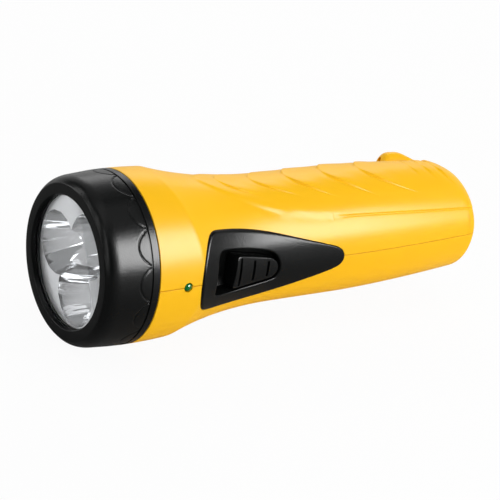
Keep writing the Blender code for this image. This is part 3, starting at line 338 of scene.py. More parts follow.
def closed(item, distance=0.004 * MM):
    """Merge the points that meet and turn the faces outwards."""
    deselected()
    item.select_set(True)
    bpy.context.view_layer.objects.active = item
    bpy.ops.object.mode_set(mode="EDIT")
    bpy.ops.mesh.select_all(action="SELECT")
    bpy.ops.mesh.remove_doubles(threshold=distance)
    bpy.ops.mesh.normals_make_consistent(inside=False)
    bpy.ops.object.mode_set(mode="OBJECT")
    return item


def spun(name, outline, steps, centre=(0.0, 0.0)):
    """Turn a closed outline of (x, radius) points about an axis along X."""
    deselected()
    bpy.ops.mesh.primitive_circle_add(vertices=len(outline), radius=1, fill_type="NOTHING")
    item = named(name)
    for point, (x, radius) in zip(item.data.vertices, outline):
        point.co = (FRONT_X + x, centre[0], AXIS_Z + centre[1] + radius)
    bpy.ops.object.mode_set(mode="EDIT")
    bpy.ops.mesh.select_all(action="SELECT")
    bpy.ops.mesh.spin(steps=steps, angle=2 * pi, center=(0, centre[0], AXIS_Z + centre[1]), axis=(1, 0, 0))
    bpy.ops.object.mode_set(mode="OBJECT")
    return closed(item)


def rounded(corners, steps=4):
    """An outline whose corners, given as (x, radius, rounding), are turned into short arcs."""
    outline = []
    count = len(corners)
    for index, (x, y, reach) in enumerate(corners):
        here = Vector((x, y))
        if reach == 0:
            outline.append((x, y))
            continue
        before = Vector(corners[index - 1][:2]) - here
        after = Vector(corners[(index + 1) % count][:2]) - here
        start = here + before.normalized() * min(reach, before.length / 2)
        end = here + after.normalized() * min(reach, after.length / 2)
        for step in range(steps + 1):
            t = step / steps
            point = start * (1 - t) ** 2 + here * 2 * t * (1 - t) + end * t ** 2
            outline.append((point.x, point.y))
    return outline


def in_mm(corners):
    return [tuple(value * MM for value in corner) for corner in corners]


def applied(item):
    """Apply all of an item's modifiers."""
    deselected()
    item.select_set(True)
    bpy.context.view_layer.objects.active = item
    for step in list(item.modifiers):
        bpy.ops.object.modifier_apply(modifier=step.name)
    return item


def carved(item, tool, operation="DIFFERENCE"):
    """Cut, join or intersect an item with a tool, which is used up."""
    step = item.modifiers.new("carve", "BOOLEAN")
    step.operation = operation
    step.object = tool
    applied(item)
    bpy.data.objects.remove(tool)
    return item


def shaded(item, angle=35):
    deselected()
    item.select_set(True)
    bpy.context.view_layer.objects.active = item
    bpy.ops.object.shade_smooth_by_angle(angle=radians(angle))
    return item


def dressed(item, finish, slot, body, *nodes):
    """Give a finished piece its material, hide the frame nodes it stands for and hang it on its body; the slot argument
    is not used.
    """
    item.data.materials.clear()
    item.data.materials.append(bpy.data.materials[finish])
    if nodes:
        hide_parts(*nodes)
    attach(item, body)
    return item


def prism(name, outline, near, far):
    """A block along Y over an outline of (x, z) points, x from the front lip and z from the axis."""
    deselected()
    bpy.ops.mesh.primitive_circle_add(vertices=len(outline), radius=1, fill_type="NGON")
    item = named(name)
    for point, (x, z) in zip(item.data.vertices, outline):
        point.co = (FRONT_X + x, near, AXIS_Z + z)
    bpy.ops.object.mode_set(mode="EDIT")
    bpy.ops.mesh.select_all(action="SELECT")
    bpy.ops.mesh.extrude_region_move(TRANSFORM_OT_translate={"value": (0, far - near, 0)})
    bpy.ops.object.mode_set(mode="OBJECT")
    return closed(item)


def rod(name, radius, start, end, vertices=48):
    """A plain cylinder between two places."""
    span = Vector(end) - Vector(start)
    deselected()
    bpy.ops.mesh.primitive_cylinder_add(vertices=vertices, radius=radius, depth=span.length)
    item = named(name)
    turn = Vector((0, 0, 1)).rotation_difference(span).to_matrix().to_4x4()
    item.data.transform(Matrix.Translation((Vector(start) + Vector(end)) / 2) @ turn)
    return item


def block(name, low, high):
    """A box between two corners."""
    deselected()
    bpy.ops.mesh.primitive_cube_add(size=1)
    item = named(name)
    for point in item.data.vertices:
        point.co = [low[i] + (high[i] - low[i]) * (point.co[i] + 0.5) for i in range(3)]
    return item


# Outlines of the switch

PANEL_SHARES = (
    (-0.006, -0.28), (-0.028, -0.12), (-0.03, 0.1), (-0.013, 0.29), (0.02, 0.455), (0.06, 0.545),
    (0.15, 0.524), (0.30, 0.479), (0.45, 0.415), (0.62, 0.32), (0.80, 0.215), (0.93, 0.14),
    (0.975, 0.085), (0.995, -0.005), (0.985, -0.09), (0.94, -0.15), (0.78, -0.24), (0.58, -0.345),
    (0.40, -0.4), (0.25, -0.415), (0.12, -0.408), (0.05, -0.398), (0.02, -0.362),
)
WINDOW_SHARES = (
    (-0.04, -0.3), (-0.034, 0.4), (0.0, 0.54), (0.06, 0.59), (0.42, 0.5), (0.78, 0.375), (0.9, 0.29),
    (0.97, 0.15), (1.005, -0.04), (0.99, -0.2), (0.92, -0.32), (0.42, -0.385), (0.08, -0.39), (-0.01, -0.365),
)
SLIDER_TOP = ((49.7, 5.9), (57.0, 4.5), (64.2, 3.0), (66.4, 1.5), (67.3, -0.7), (66.9, -2.7), (65.0, -4.2),
              (57.0, -5.0), (48.6, -5.4))
SLIDER_FOOT_X = 48.1


def curved(points):
    """A smooth closed outline that rounds each corner as far as its sides allow."""
    return rounded([(x, z, PANEL_LENGTH) for x, z in points], 6)


def panel_outline(margin=0.0):
    corners = [(PANEL_START_X + PANEL_LENGTH * x, PANEL_HEIGHT * z) for x, z in PANEL_SHARES]
    return grown(curved(corners), margin)


def window_outline(margin=0.0):
    corners = [(WINDOW_START_X + WINDOW_LENGTH * x, WINDOW_HEIGHT * z) for x, z in WINDOW_SHARES]
    return grown(curved(corners), margin)


def grown(outline, margin):
    """Move an outline's points outwards by a margin."""
    count = len(outline)
    area = sum(outline[i - 1][0] * outline[i][1] - outline[i][0] * outline[i - 1][1] for i in range(count))
    hand = 1 if area > 0 else -1
    result = []
    for index in range(count):
        before = Vector(outline[index]) - Vector(outline[index - 1])
        after = Vector(outline[(index + 1) % count]) - Vector(outline[index])
        if before.length < 1e-9:
            before = after
        if after.length < 1e-9:
            after = before
        middle = (before.normalized() + after.normalized()).normalized()
        result.append((outline[index][0] + middle.y * margin * hand, outline[index][1] - middle.x * margin * hand))
    return result


def ray_hit(outline, centre, angle):
    """Distance from a centre to an outline along a direction."""
    way = Vector((cos(angle), sin(angle)))
    best = 0.0
    for index, point in enumerate(outline):
        a = Vector(point) - centre
        b = Vector(outline[(index + 1) % len(outline)]) - centre
        edge = b - a
        cross = way.x * edge.y - way.y * edge.x
        if abs(cross) < 1e-12:
            continue
        t = (a.x * edge.y - a.y * edge.x) / cross
        s = (a.x * way.y - a.y * way.x) / cross
        if t > 0 and -1e-6 <= s <= 1 + 1e-6:
            best = max(best, t)
    return best


def surface_y(x, z, lift):
    """Y of the plain body's surface, raised by a lift, over an (x, z) place on the switch side."""
    angle = degrees(asin(max(-1.0, min(1.0, z / HEAD_RADIUS))))
    for _ in range(6):
        radius = plain_radius(x, angle) + lift
        angle = degrees(asin(max(-1.0, min(1.0, z / radius))))
    return -radius * cos(radians(angle))


# Materials

def new_material(name, colour, roughness, metallic=0.0):
    """A Principled material and its tree, shader and object coordinates."""
    material = bpy.data.materials.new(name)
    material.use_nodes = True
    tree = material.node_tree
    shader = tree.nodes["Principled BSDF"]
    shader.inputs["Base Color"].default_value = colour
    shader.inputs["Roughness"].default_value = roughness
    shader.inputs["Metallic"].default_value = metallic
    place = tree.nodes.new("ShaderNodeTexCoord")
    return tree, shader, place.outputs["Object"]


def noise(tree, place, scale, detail=3.0, roughness=0.5):
    node = tree.nodes.new("ShaderNodeTexNoise")
    node.inputs["Scale"].default_value = scale
    node.inputs["Detail"].default_value = detail
    node.inputs["Roughness"].default_value = roughness
    tree.links.new(place, node.inputs["Vector"])
    return node.outputs["Fac"]


def ranged(tree, value, low, high):
    node = tree.nodes.new("ShaderNodeMapRange")
    node.inputs["To Min"].default_value = low
    node.inputs["To Max"].default_value = high
    tree.links.new(value, node.inputs["Value"])
    return node.outputs["Result"]


def tinted(tree, shader, value, first, second):
    """Drive the base colour between two colours by a value."""
    node = tree.nodes.new("ShaderNodeMix")
    node.data_type = "RGBA"
    node.inputs["A"].default_value = first
    node.inputs["B"].default_value = second
    tree.links.new(value, node.inputs["Factor"])
    tree.links.new(node.outputs["Result"], shader.inputs["Base Color"])


def bumped(tree, shader, height, strength, distance):
    node = tree.nodes.new("ShaderNodeBump")
    node.inputs["Strength"].default_value = strength
    node.inputs["Distance"].default_value = distance
    tree.links.new(height, node.inputs["Height"])
    tree.links.new(node.outputs["Normal"], shader.inputs["Normal"])


def scaled_colour(colour, factor):
    return (min(1, colour[0] * factor), min(1, colour[1] * factor), min(1, colour[2] * factor), 1)


def moulded(name, colour, roughness, grain, strength, depth, spread=0.05):
    """Moulded plastic: fine grain, slightly uneven gloss and a trace of uneven colour."""
    tree, shader, place = new_material(name, colour, roughness)
    cloud = noise(tree, place, 45.0, 2.0)
    tinted(tree, shader, cloud, scaled_colour(colour, 1 - spread), scaled_colour(colour, 1 + spread))
    fine = noise(tree, place, grain, 2.0)
    tree.links.new(ranged(tree, fine, roughness - 0.06, roughness + 0.06), shader.inputs["Roughness"])
    bumped(tree, shader, fine, strength, depth)
    return shader


def make_materials(colours):
    """Every finish of the torch, by name."""
    shader = moulded("yellow_plastic", colours.body, 0.33, 1500.0, 0.25, 0.02 * MM, 0.02)
    shader.inputs["Specular IOR Level"].default_value = 0.065
    for name in ("black_plastic", "switch_plastic"):
        shader = moulded(name, colours.black, 0.24, 2100.0, 0.7, 0.06 * MM, 0.15)
        shader.inputs["Specular IOR Level"].default_value = 0.075
    moulded("gasket_rubber", (0.016, 0.016, 0.016, 1), 0.6, 3000.0, 0.3, 0.02 * MM, 0.1)
    moulded("inner_plastic", (0.02, 0.02, 0.02, 1), 0.5, 3000.0, 0.3, 0.02 * MM, 0.1)
    moulded("battery_wrap", (0.08, 0.08, 0.09, 1), 0.45, 900.0, 0.3, 0.02 * MM, 0.1)
    moulded("dipped_film", (0.25, 0.1, 0.04, 1), 0.3, 700.0, 0.4, 0.03 * MM, 0.15)
    moulded("red_wire", (0.6, 0.02, 0.02, 1), 0.45, 2500.0, 0.2, 0.01 * MM, 0.08)
    moulded("black_wire", (0.02, 0.02, 0.02, 1), 0.45, 2500.0, 0.2, 0.01 * MM, 0.08)
    moulded("brown_wire", (0.2, 0.08, 0.03, 1), 0.45, 2500.0, 0.2, 0.01 * MM, 0.08)
    moulded("board_lacquer", (0.02, 0.16, 0.06, 1), 0.35, 1200.0, 0.3, 0.02 * MM, 0.2)
    chrome_material(colours.chrome)
    metal_material("zinc_steel", (0.6, 0.6, 0.58, 1), 0.35, 1800.0)
    metal_material("tinned_metal", (0.74, 0.73, 0.7, 1), 0.28, 2600.0)
    clear_material("clear_lens", (0.985, 0.992, 1, 1), 0.01, 1.47)
    clear_material("clear_resin", (0.97, 0.985, 1, 1), 0.03, 1.52)
    tree, shader, place = new_material("green_resin", colours.lamp, 0.12)
    tinted(tree, shader, noise(tree, place, 900.0), colours.lamp, scaled_colour(colours.lamp, 1.5))
    shader.inputs["Specular IOR Level"].default_value = 0.2


def metal_material(name, colour, roughness, grain):
    tree, shader, place = new_material(name, colour, roughness, 1.0)
    fine = noise(tree, place, grain, 3.0)
    tree.links.new(ranged(tree, fine, roughness - 0.08, roughness + 0.1), shader.inputs["Roughness"])
    bumped(tree, shader, fine, 0.2, 0.01 * MM)


def clear_material(name, colour, roughness, ior):
    """Clear plastic with faint flow marks."""
    tree, shader, place = new_material(name, colour, roughness)
    shader.inputs["Transmission Weight"].default_value = 1.0
    shader.inputs["IOR"].default_value = ior
    bumped(tree, shader, noise(tree, place, 120.0, 1.0), 0.04, 0.01 * MM)


def chrome_material(colour):
    """Metallised plastic: bright in the cups, satin on the flat face between them."""
    tree, shader, place = new_material("metallised_plastic", colour, 0.06, 1.0)
    split = tree.nodes.new("ShaderNodeSeparateXYZ")
    tree.links.new(place, split.inputs["Vector"])
    face = tree.nodes.new("ShaderNodeMapRange")
    face.inputs["From Min"].default_value = FRONT_X + REFLECTOR_FACE_X
    face.inputs["From Max"].default_value = FRONT_X + REFLECTOR_FACE_X + 0.15 * MM
    face.inputs["To Min"].default_value = 0.38
    face.inputs["To Max"].default_value = 0.05
    tree.links.new(split.outputs["X"], face.inputs["Value"])
    tree.links.new(face.outputs["Result"], shader.inputs["Roughness"])
    flat = tree.nodes.new("ShaderNodeMapRange")
    flat.inputs["From Min"].default_value = 0.05
    flat.inputs["From Max"].default_value = 0.38
    tree.links.new(face.outputs["Result"], flat.inputs["Value"])
    speckle = tree.nodes.new("ShaderNodeMath")
    speckle.operation = "MULTIPLY"
    tree.links.new(ranged(tree, noise(tree, place, 2400.0, 2.0), 0.75, 1.25), speckle.inputs[0])
    tree.links.new(flat.outputs["Result"], speckle.inputs[1])
    tinted(tree, shader, speckle.outputs["Value"], colour, scaled_colour(colour, 1.5))
    bumped(tree, shader, noise(tree, place, 220.0, 2.0), 0.12, 0.02 * MM)


# Pieces

def body_stations():
    """Places along the crest for the lines round a shell, closer together at each rib's step."""
    stations = [FLARE_X + step * 0.75 * MM for step in range(int((50 * MM - FLARE_X) / (0.75 * MM)))]
    steps = (-2.5, -1.7, -1.0, -0.6, -0.35, -0.15, 0.05, 0.25, 0.45, 0.7, 1.1, 1.7, 2.5, 3.5, 4.6)
    for index, (place, _, _) in enumerate(RIB_TABLE):
        stations += [(place + step) * MM for step in steps]
        last = RIB_TABLE[index + 1][0] - 2.5 if index + 1 < len(RIB_TABLE) else (LENGTH - TAIL_LOW_ROUND) / MM
        x = place + 5.6
        while x < last - 0.4:
            stations.append(x * MM)
            x += 1.1
    start = LENGTH - 5 * MM
    stations += [start + (LENGTH - start) * sin(pi / 2 * step / 16) for step in range(17)]
    stations = sorted(stations)
    kept = [stations[0]]
    for place in stations[1:]:
        if place - kept[-1] > 0.09 * MM or place == LENGTH:
            kept.append(place)
    return kept


def shell_piece(name, side, sizes):
    """One half of the body as a closed shell: outer face, parting faces and inner face."""
    arc = 176 if side > 0 else 150
    inner_arc = 40
    stations = body_stations()
    collar = [(COLLAR_X, 0.5), (COLLAR_X, 0), (FLARE_X - FIT, 0)]
    caps = (0.75, 0.4, 0.0)
    columns = len(collar) + len(stations) + len(caps)
    edge = degrees(sizes.seam_gap / HANDLE_RADIUS)

    def outer(column, angle):
        lean = abs(90 - angle)
        if column < len(collar):
            x, middle = collar[column]
            radius = COLLAR_RADIUS - middle * (COLLAR_RADIUS - COLLAR_BORE)
            return at(x, radius, side * angle)
        index = min(column - len(collar), len(stations) - 1)
        crest = stations[index]
        x = min(LENGTH, swept(crest, lean) if side > 0 else crest)
        if crest < HANDLE_X:
            shift = (ARRIS_SIDE_X - ARRIS_TOP_X) * cos(radians(angle)) ** 2
            x += shift * smooth((crest - FLARE_X) / (ARRIS_TOP_X - FLARE_X)) * smooth((50 * MM - crest) / (20 * MM))
        radius = plain_radius(x, side * angle)
        if side > 0:
            radius += rib_rise(crest, lean, sizes.rib_height) + pad_and_band(x, lean, sizes)
        else:
            radius += pad_and_band(x, 180 - lean, sizes)
        radius -= 0.05 * MM * smooth(1 - (90 - edge - lean) / 0.4)
        if column >= len(collar) + len(stations):
            radius *= caps[column - len(collar) - len(stations)]
        return at(x, radius, side * angle)

    def inner(column, angle):
        if column < len(collar):
            x, middle = collar[column]
            return at(x, COLLAR_BORE + middle * (COLLAR_RADIUS - COLLAR_BORE), side * angle)
        index = min(column - len(collar), len(stations) - 1)
        x = min(stations[index], LENGTH - WALL)
        radius = min(COLLAR_BORE, plain_radius(x, side * 90) - WALL)
        if column >= len(collar) + len(stations):
            radius *= caps[column - len(collar) - len(stations)]
        return at(x, radius, side * angle)

    def row_angle(column, row):
        """The angle of a row, with the rows of the upper shell packed along the pad's line."""
        share = row / arc
        if side < 0 or column < len(collar):
            lean = between(abs(share - 0.5) * 2, ((0.0, 0.0), (0.95, 88.5), (1.0, 90 - edge)))
            return 90 - lean if share < 0.5 else 90 + lean
        crest = stations[min(column - len(collar), len(stations) - 1)]
        line = grip_edge(swept(crest, grip_edge(crest)))
        line = max(12.0, line)
        knots = ((0.0, 0.0), (0.5, line - 5), (0.78, line + 5), (0.96, 88.8), (1.0, 90 - edge))
        lean = between(abs(share - 0.5) * 2, knots)
        return 90 - lean if share < 0.5 else 90 + lean

    def place(column, row):
        if row <= arc:
            return outer(column, row_angle(column, row))
        share = (row - arc - 1) / inner_arc
        if share <= 1:
            return inner(column, 180 - edge - (180 - 2 * edge) * share)
        return outer(column, edge)

    item = mapped_grid(name, columns - 1, arc + inner_arc + 2, place)
    return closed(item, 0.002 * MM)


def lug_rise(along):
    """Height of the cord lug along it, as a share: steep in front, flat on top and drawn out behind."""
    front = 1 - (1 - min(1.0, along / 0.3)) ** 2.6
    return front * (1 - smooth((along - 0.4) / 0.62))


def cord_lug():
    """The low eye on the far side of the tail."""
    outward = Vector((0, -cos(radians(LUG_ANGLE)), sin(radians(LUG_ANGLE))))
    across = Vector((0, sin(radians(LUG_ANGLE)), cos(radians(LUG_ANGLE))))
    columns, rows = 36, 28

    def place(column, row):
        along = min(1.0, max(0.0, (column - 1) / (columns - 2)))
        rise = lug_rise(along)
        x = LUG_X + LUG_LENGTH * (along - 0.5)
        foot = plain_radius(x, LUG_ANGLE) - WALL / 2
        turn = pi * row / rows
        width = LUG_WIDTH * (0.66 + 0.34 * sqrt(rise)) / 2
        height = (WALL / 2 + LUG_HEIGHT * rise) * sin(turn) ** 0.62
        spread = cos(turn) * width
        if column in (0, columns):
            spread, height = 0.0, 0.0
        middle = Vector((FRONT_X + x, 0, AXIS_Z))
        return middle + outward * (foot + height) + across * spread

    lug = closed(mapped_grid("lug", columns, rows, place))
    deselected()
    lug.select_set(True)
    bpy.context.view_layer.objects.active = lug
    bpy.ops.object.mode_set(mode="EDIT")
    bpy.ops.mesh.select_all(action="SELECT")
    bpy.ops.mesh.fill_holes(sides=0)
    bpy.ops.object.mode_set(mode="OBJECT")
    return closed(lug)


def lug_hole():
    """The eye's hole, which runs lengthwise just above the shell."""
    reach = LUG_LENGTH / 2 + 1 * MM
    ends = [at(x, plain_radius(x, LUG_ANGLE) + LUG_HOLE_RISE, LUG_ANGLE) for x in (LUG_X - reach, LUG_X + reach)]
    return rod("lug_hole", LUG_HOLE_RADIUS, *ends)


class TORCH_OT_shells(bpy.types.Operator):
    """Model the two yellow shells with the grip pad, its ribs, the side band and the cord lug."""

    bl_idname = "torch.shells"
    bl_label = "Shells"

    def execute(self, context):
        sizes = context.scene.torch_sizes
        near = -HEAD_RADIUS - WALL
        for name, side, node in (("shell_top", 1, "upper_shell"), ("shell_bottom", -1, "lower_shell")):
            shell = shell_piece(name, side, sizes)
            if side > 0:
                carved(shell, cord_lug(), "UNION")
                carved(shell, lug_hole())
            else:
                for x, y in SCREW_PLACES:
                    low = Vector((FRONT_X + x, y, AXIS_Z - SCREW_SINK))
                    carved(shell, rod("counterbore", SCREW_BORE, low, low - Vector((0, 0, HEAD_RADIUS))))
            carved(shell, prism("seat", panel_outline(0.12 * MM), near, -TRAY_FLOOR_Y + 4 * MM))
            lamp = (FRONT_X + 28.8 * MM, near, AXIS_Z)
            carved(shell, rod("lamp_hole", 1.62 * MM, lamp, (lamp[0], near / 2, AXIS_Z)))
            half_width = (INLET_HIGH[1] - INLET_LOW[1]) / 2 - 0.95 * MM
            low = (FRONT_X + LENGTH - 2 * WALL, -half_width, AXIS_Z - 4.8 * MM)
            carved(shell, block("inlet_hole", low, (FRONT_X + LENGTH + WALL, half_width, AXIS_Z + 4.8 * MM)))
            shaded(shell, 50)
            dressed(shell, "yellow_plastic", "body_yellow", "torch_body", node)
        return {"FINISHED"}


def scallop_sink(x, angle, depth):
    """Depth of the engraved arcs at a place on the bezel's rear band, in metres."""
    pitch = 24.0
    first = 5.4
    ring_x = 15.1
    reach = 3.9
    half = 5.5
    across = (angle - first + pitch / 2) % pitch - pitch / 2
    along = radians(across) * HEAD_RADIUS / MM
    x = x / MM
    if abs(along) > half + 1 or x > ring_x:
        return 0.0
    share = min(1.0, abs(along) / half)
    arc = ring_x - reach * (1 - share ** 2) ** 0.8
    slope = 2 * reach * share / half
    distance = (x - arc) / hypot(1, slope)
    if abs(along) > half:
        distance = hypot(distance, abs(along) - half)
    inside = smooth(distance / 0.5) * smooth((half - abs(along)) / 0.8) * 0.25
    return depth * (exp(-(distance / 0.24) ** 2) + inside * (distance > 0))


class TORCH_OT_bezel(bpy.types.Operator):
    """Model the black screwed bezel with its bead, ring groove and fifteen engraved arcs."""

    bl_idname = "torch.bezel"
    bl_label = "Bezel"

    def execute(self, context):
        sizes = context.scene.torch_sizes
        corners = in_mm([
            (1.3, 21.1, 0.12), (0.0, 21.7, 0.25), (0.0, 25.15, 0.35), (1.5, 26.65, 1.6), (3.7, 27.4, 1.2),
            (10.4, 27.9, 0), (13.5, 28.13, 1.6), (15.0, 28.15, 0.06), (15.12, 27.72, 0.06), (15.5, 27.72, 0.06),
            (15.62, 28.15, 0.06), (18.0, 28.15, 0.3), (18.0, 25.6, 0.1), (1.3, 25.6, 0.1),
        ])
        outline = rounded(corners, 6)
        fine = []
        for index, point in enumerate(outline):
            fine.append(point)
            following = outline[(index + 1) % len(outline)]
            if point[0] > 10.0 * MM and point[1] > 27.8 * MM and following[0] - point[0] > 0.3 * MM:
                count = int((following[0] - point[0]) / (0.2 * MM))
                for step in range(1, count):
                    share = step / count
                    fine.append(tuple(a + (b - a) * share for a, b in zip(point, following)))
        bezel = spun("bezel", fine, 900)
        for point in bezel.data.vertices:
            y, z = point.co.y, point.co.z - AXIS_Z
            radius = hypot(y, z)
            if radius > 27.0 * MM:
                angle = degrees(atan2(z, -y))
                sink = scallop_sink(point.co.x - FRONT_X, angle, sizes.scallop_depth)
                point.co.y *= 1 - sink / radius
                point.co.z = AXIS_Z + z * (1 - sink / radius)
        shaded(bezel, 40)
        dressed(bezel, "black_plastic", "bezel_black", "bezel", "bezel_ring")
        return {"FINISHED"}


class TORCH_OT_lens(bpy.types.Operator):
    """Model the clear lens and the gasket behind it."""

    bl_idname = "torch.lens"
    bl_label = "Lens and gasket"

    def execute(self, context):
        start, end = LENS_LOW[0] - FRONT_X, LENS_HIGH[0] - FRONT_X
        radius = (LENS_HIGH[2] - LENS_LOW[2]) / 2
        corners = [(start, 0, 0), (start, radius, 0.2 * MM), (end, radius, 0.2 * MM), (end, 0, 0)]
        lens = shaded(spun("lens_disc", rounded(corners), 160), 50)
        dressed(lens, "clear_lens", "lens_clear", "lens_set", "lens")
        start, end = GASKET_LOW[0] - FRONT_X, GASKET_HIGH[0] - FRONT_X
        inside = 21.5 * MM
        edge = (end - start) / 3
        corners = [(start, inside, edge), (start, radius, edge), (end, radius, edge), (end, inside, edge)]
        gasket = shaded(spun("gasket_ring", rounded(corners), 160), 50)
        dressed(gasket, "gasket_rubber", "gasket_rubber", "lens_set", "lens_gasket")
        return {"FINISHED"}


def cup_places():
    """Centres of the reflector's three cups, as (y, z) from the axis."""
    angles = [radians(CUP_TURN - 90 + 120 * step) for step in range(3)]
    return [(-CUP_OFFSET * cos(angle), CUP_OFFSET * sin(angle)) for angle in angles]


def faceted(cup, place):
    """Draw a round cup in to sixteen soft facets."""
    facet = 2 * pi / CUP_FACETS
    for point in cup.data.vertices:
        y, z = point.co.y - place[0], point.co.z - AXIS_Z - place[1]
        turn = atan2(z, y)
        share = 1 + CUP_FACET_SHARE * (cos(facet / 2) / cos(turn % facet - facet / 2) - 1)
        share += 0.009 * sin(9 * turn + 1) * sin(4 * turn) - 0.004
        point.co.y = place[0] + y * share
        point.co.z = AXIS_Z + place[1] + z * share
    return cup


def cup_outline(bottom, front, offset, rings):
    """A paraboloid's outline from its bottom forwards."""
    outline = [(bottom, 0.0)]
    for ring in range(1, rings + 1):
        x = bottom + (front - bottom) * (ring / rings) ** 2
        outline.append((x, CUP_RADIUS * sqrt((bottom - x) / CUP_DEPTH) + offset))
    outline.append((front, 0.0))
    return outline


class TORCH_OT_reflector(bpy.types.Operator):
    """Model the metallised reflector: a flat face with three deep cups that meet in the middle."""

    bl_idname = "torch.reflector"
    bl_label = "Reflector"

    def execute(self, context):
        bottom = REFLECTOR_FACE_X + CUP_DEPTH
        back = 5.6 * MM
        seat = (REFLECTOR_HIGH[2] - REFLECTOR_LOW[2]) / 2
        corners = [
            (REFLECTOR_FACE_X, 0, 0), (REFLECTOR_FACE_X, REFLECTOR_RADIUS, 0.3 * MM),
            (back - 1 * MM, REFLECTOR_RADIUS, 0), (back - 1 * MM, seat, 0.1 * MM), (back, seat, 0.1 * MM), (back, 0, 0),
        ]
        dish = spun("reflector_dish", rounded(corners), 144)
        for place in cup_places():
            carved(dish, spun("cup_back", cup_outline(bottom + CUP_SKIN, 5 * MM, 0, 10), 72, place), "UNION")
        for place in cup_places():
            cup = spun("cup", cup_outline(bottom, REFLECTOR_FACE_X - 1 * MM, 0, 28), 160, place)
            carved(dish, faceted(cup, place))
        for y, z in cup_places():
            start = (FRONT_X + bottom - 2 * MM, y, AXIS_Z + z)
            carved(dish, rod("lamp_hole", 2.8 * MM, start, (start[0] + 5 * MM, y, AXIS_Z + z)))
        shaded(dish, 28)
        dressed(dish, "metallised_plastic", "reflector_chrome", "torch_body", "reflector")
        return {"FINISHED"}


class TORCH_OT_lamps(bpy.types.Operator):
    """Model the three clear lamps."""

    bl_idname = "torch.lamps"
    bl_label = "Lamps"

    def execute(self, context):
        for count, place in enumerate(cup_places()):
            node = "led_%d" % (count + 1)
            low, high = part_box(node)
            nose, length = low[0] - FRONT_X, high[0] - low[0]
            dome = [(nose + 2.5 * MM * (1 - cos(a)), 2.5 * MM * sin(a)) for a in [pi / 2 * s / 10 for s in range(11)]]
            flange = nose + length - 1 * MM
            outline = dome + [(flange, 2.5 * MM), (flange, 2.9 * MM), (nose + length, 2.9 * MM), (nose + length, 0)]
            lamp = shaded(spun("lamp_%d" % (count + 1), outline, 48, place), 40)
            dressed(lamp, "clear_resin", "lamp_clear", "torch_body", node)
        return {"FINISHED"}


class TORCH_OT_indicator(bpy.types.Operator):
    """Model the small green lamp beside the seam."""

    bl_idname = "torch.indicator"
    bl_label = "Indicator"

    def execute(self, context):
        deselected()
        centre = (INDICATOR_LOW[0] + INDICATOR_HIGH[0]) / 2
        radius = 1.5 * MM
        length = INDICATOR_HIGH[1] - INDICATOR_LOW[1]
        dome = [(radius * (1 - cos(a)), radius * sin(a)) for a in [pi / 2 * s / 8 for s in range(9)]]
        outline = dome + [(length - 1 * MM, radius), (length - 1 * MM, 1.9 * MM), (length, 1.9 * MM), (length, 0)]
        lamp = spun("charge_lamp", outline, 40)
        for point in lamp.data.vertices:
            along, y, z = point.co.x - FRONT_X, point.co.y, point.co.z - AXIS_Z
            point.co = (centre + y, INDICATOR_LOW[1] + along, AXIS_Z + z)
        shaded(closed(lamp), 40)
        dressed(lamp, "green_resin", "indicator_green", "torch_body", "indicator_led")
        return {"FINISHED"}


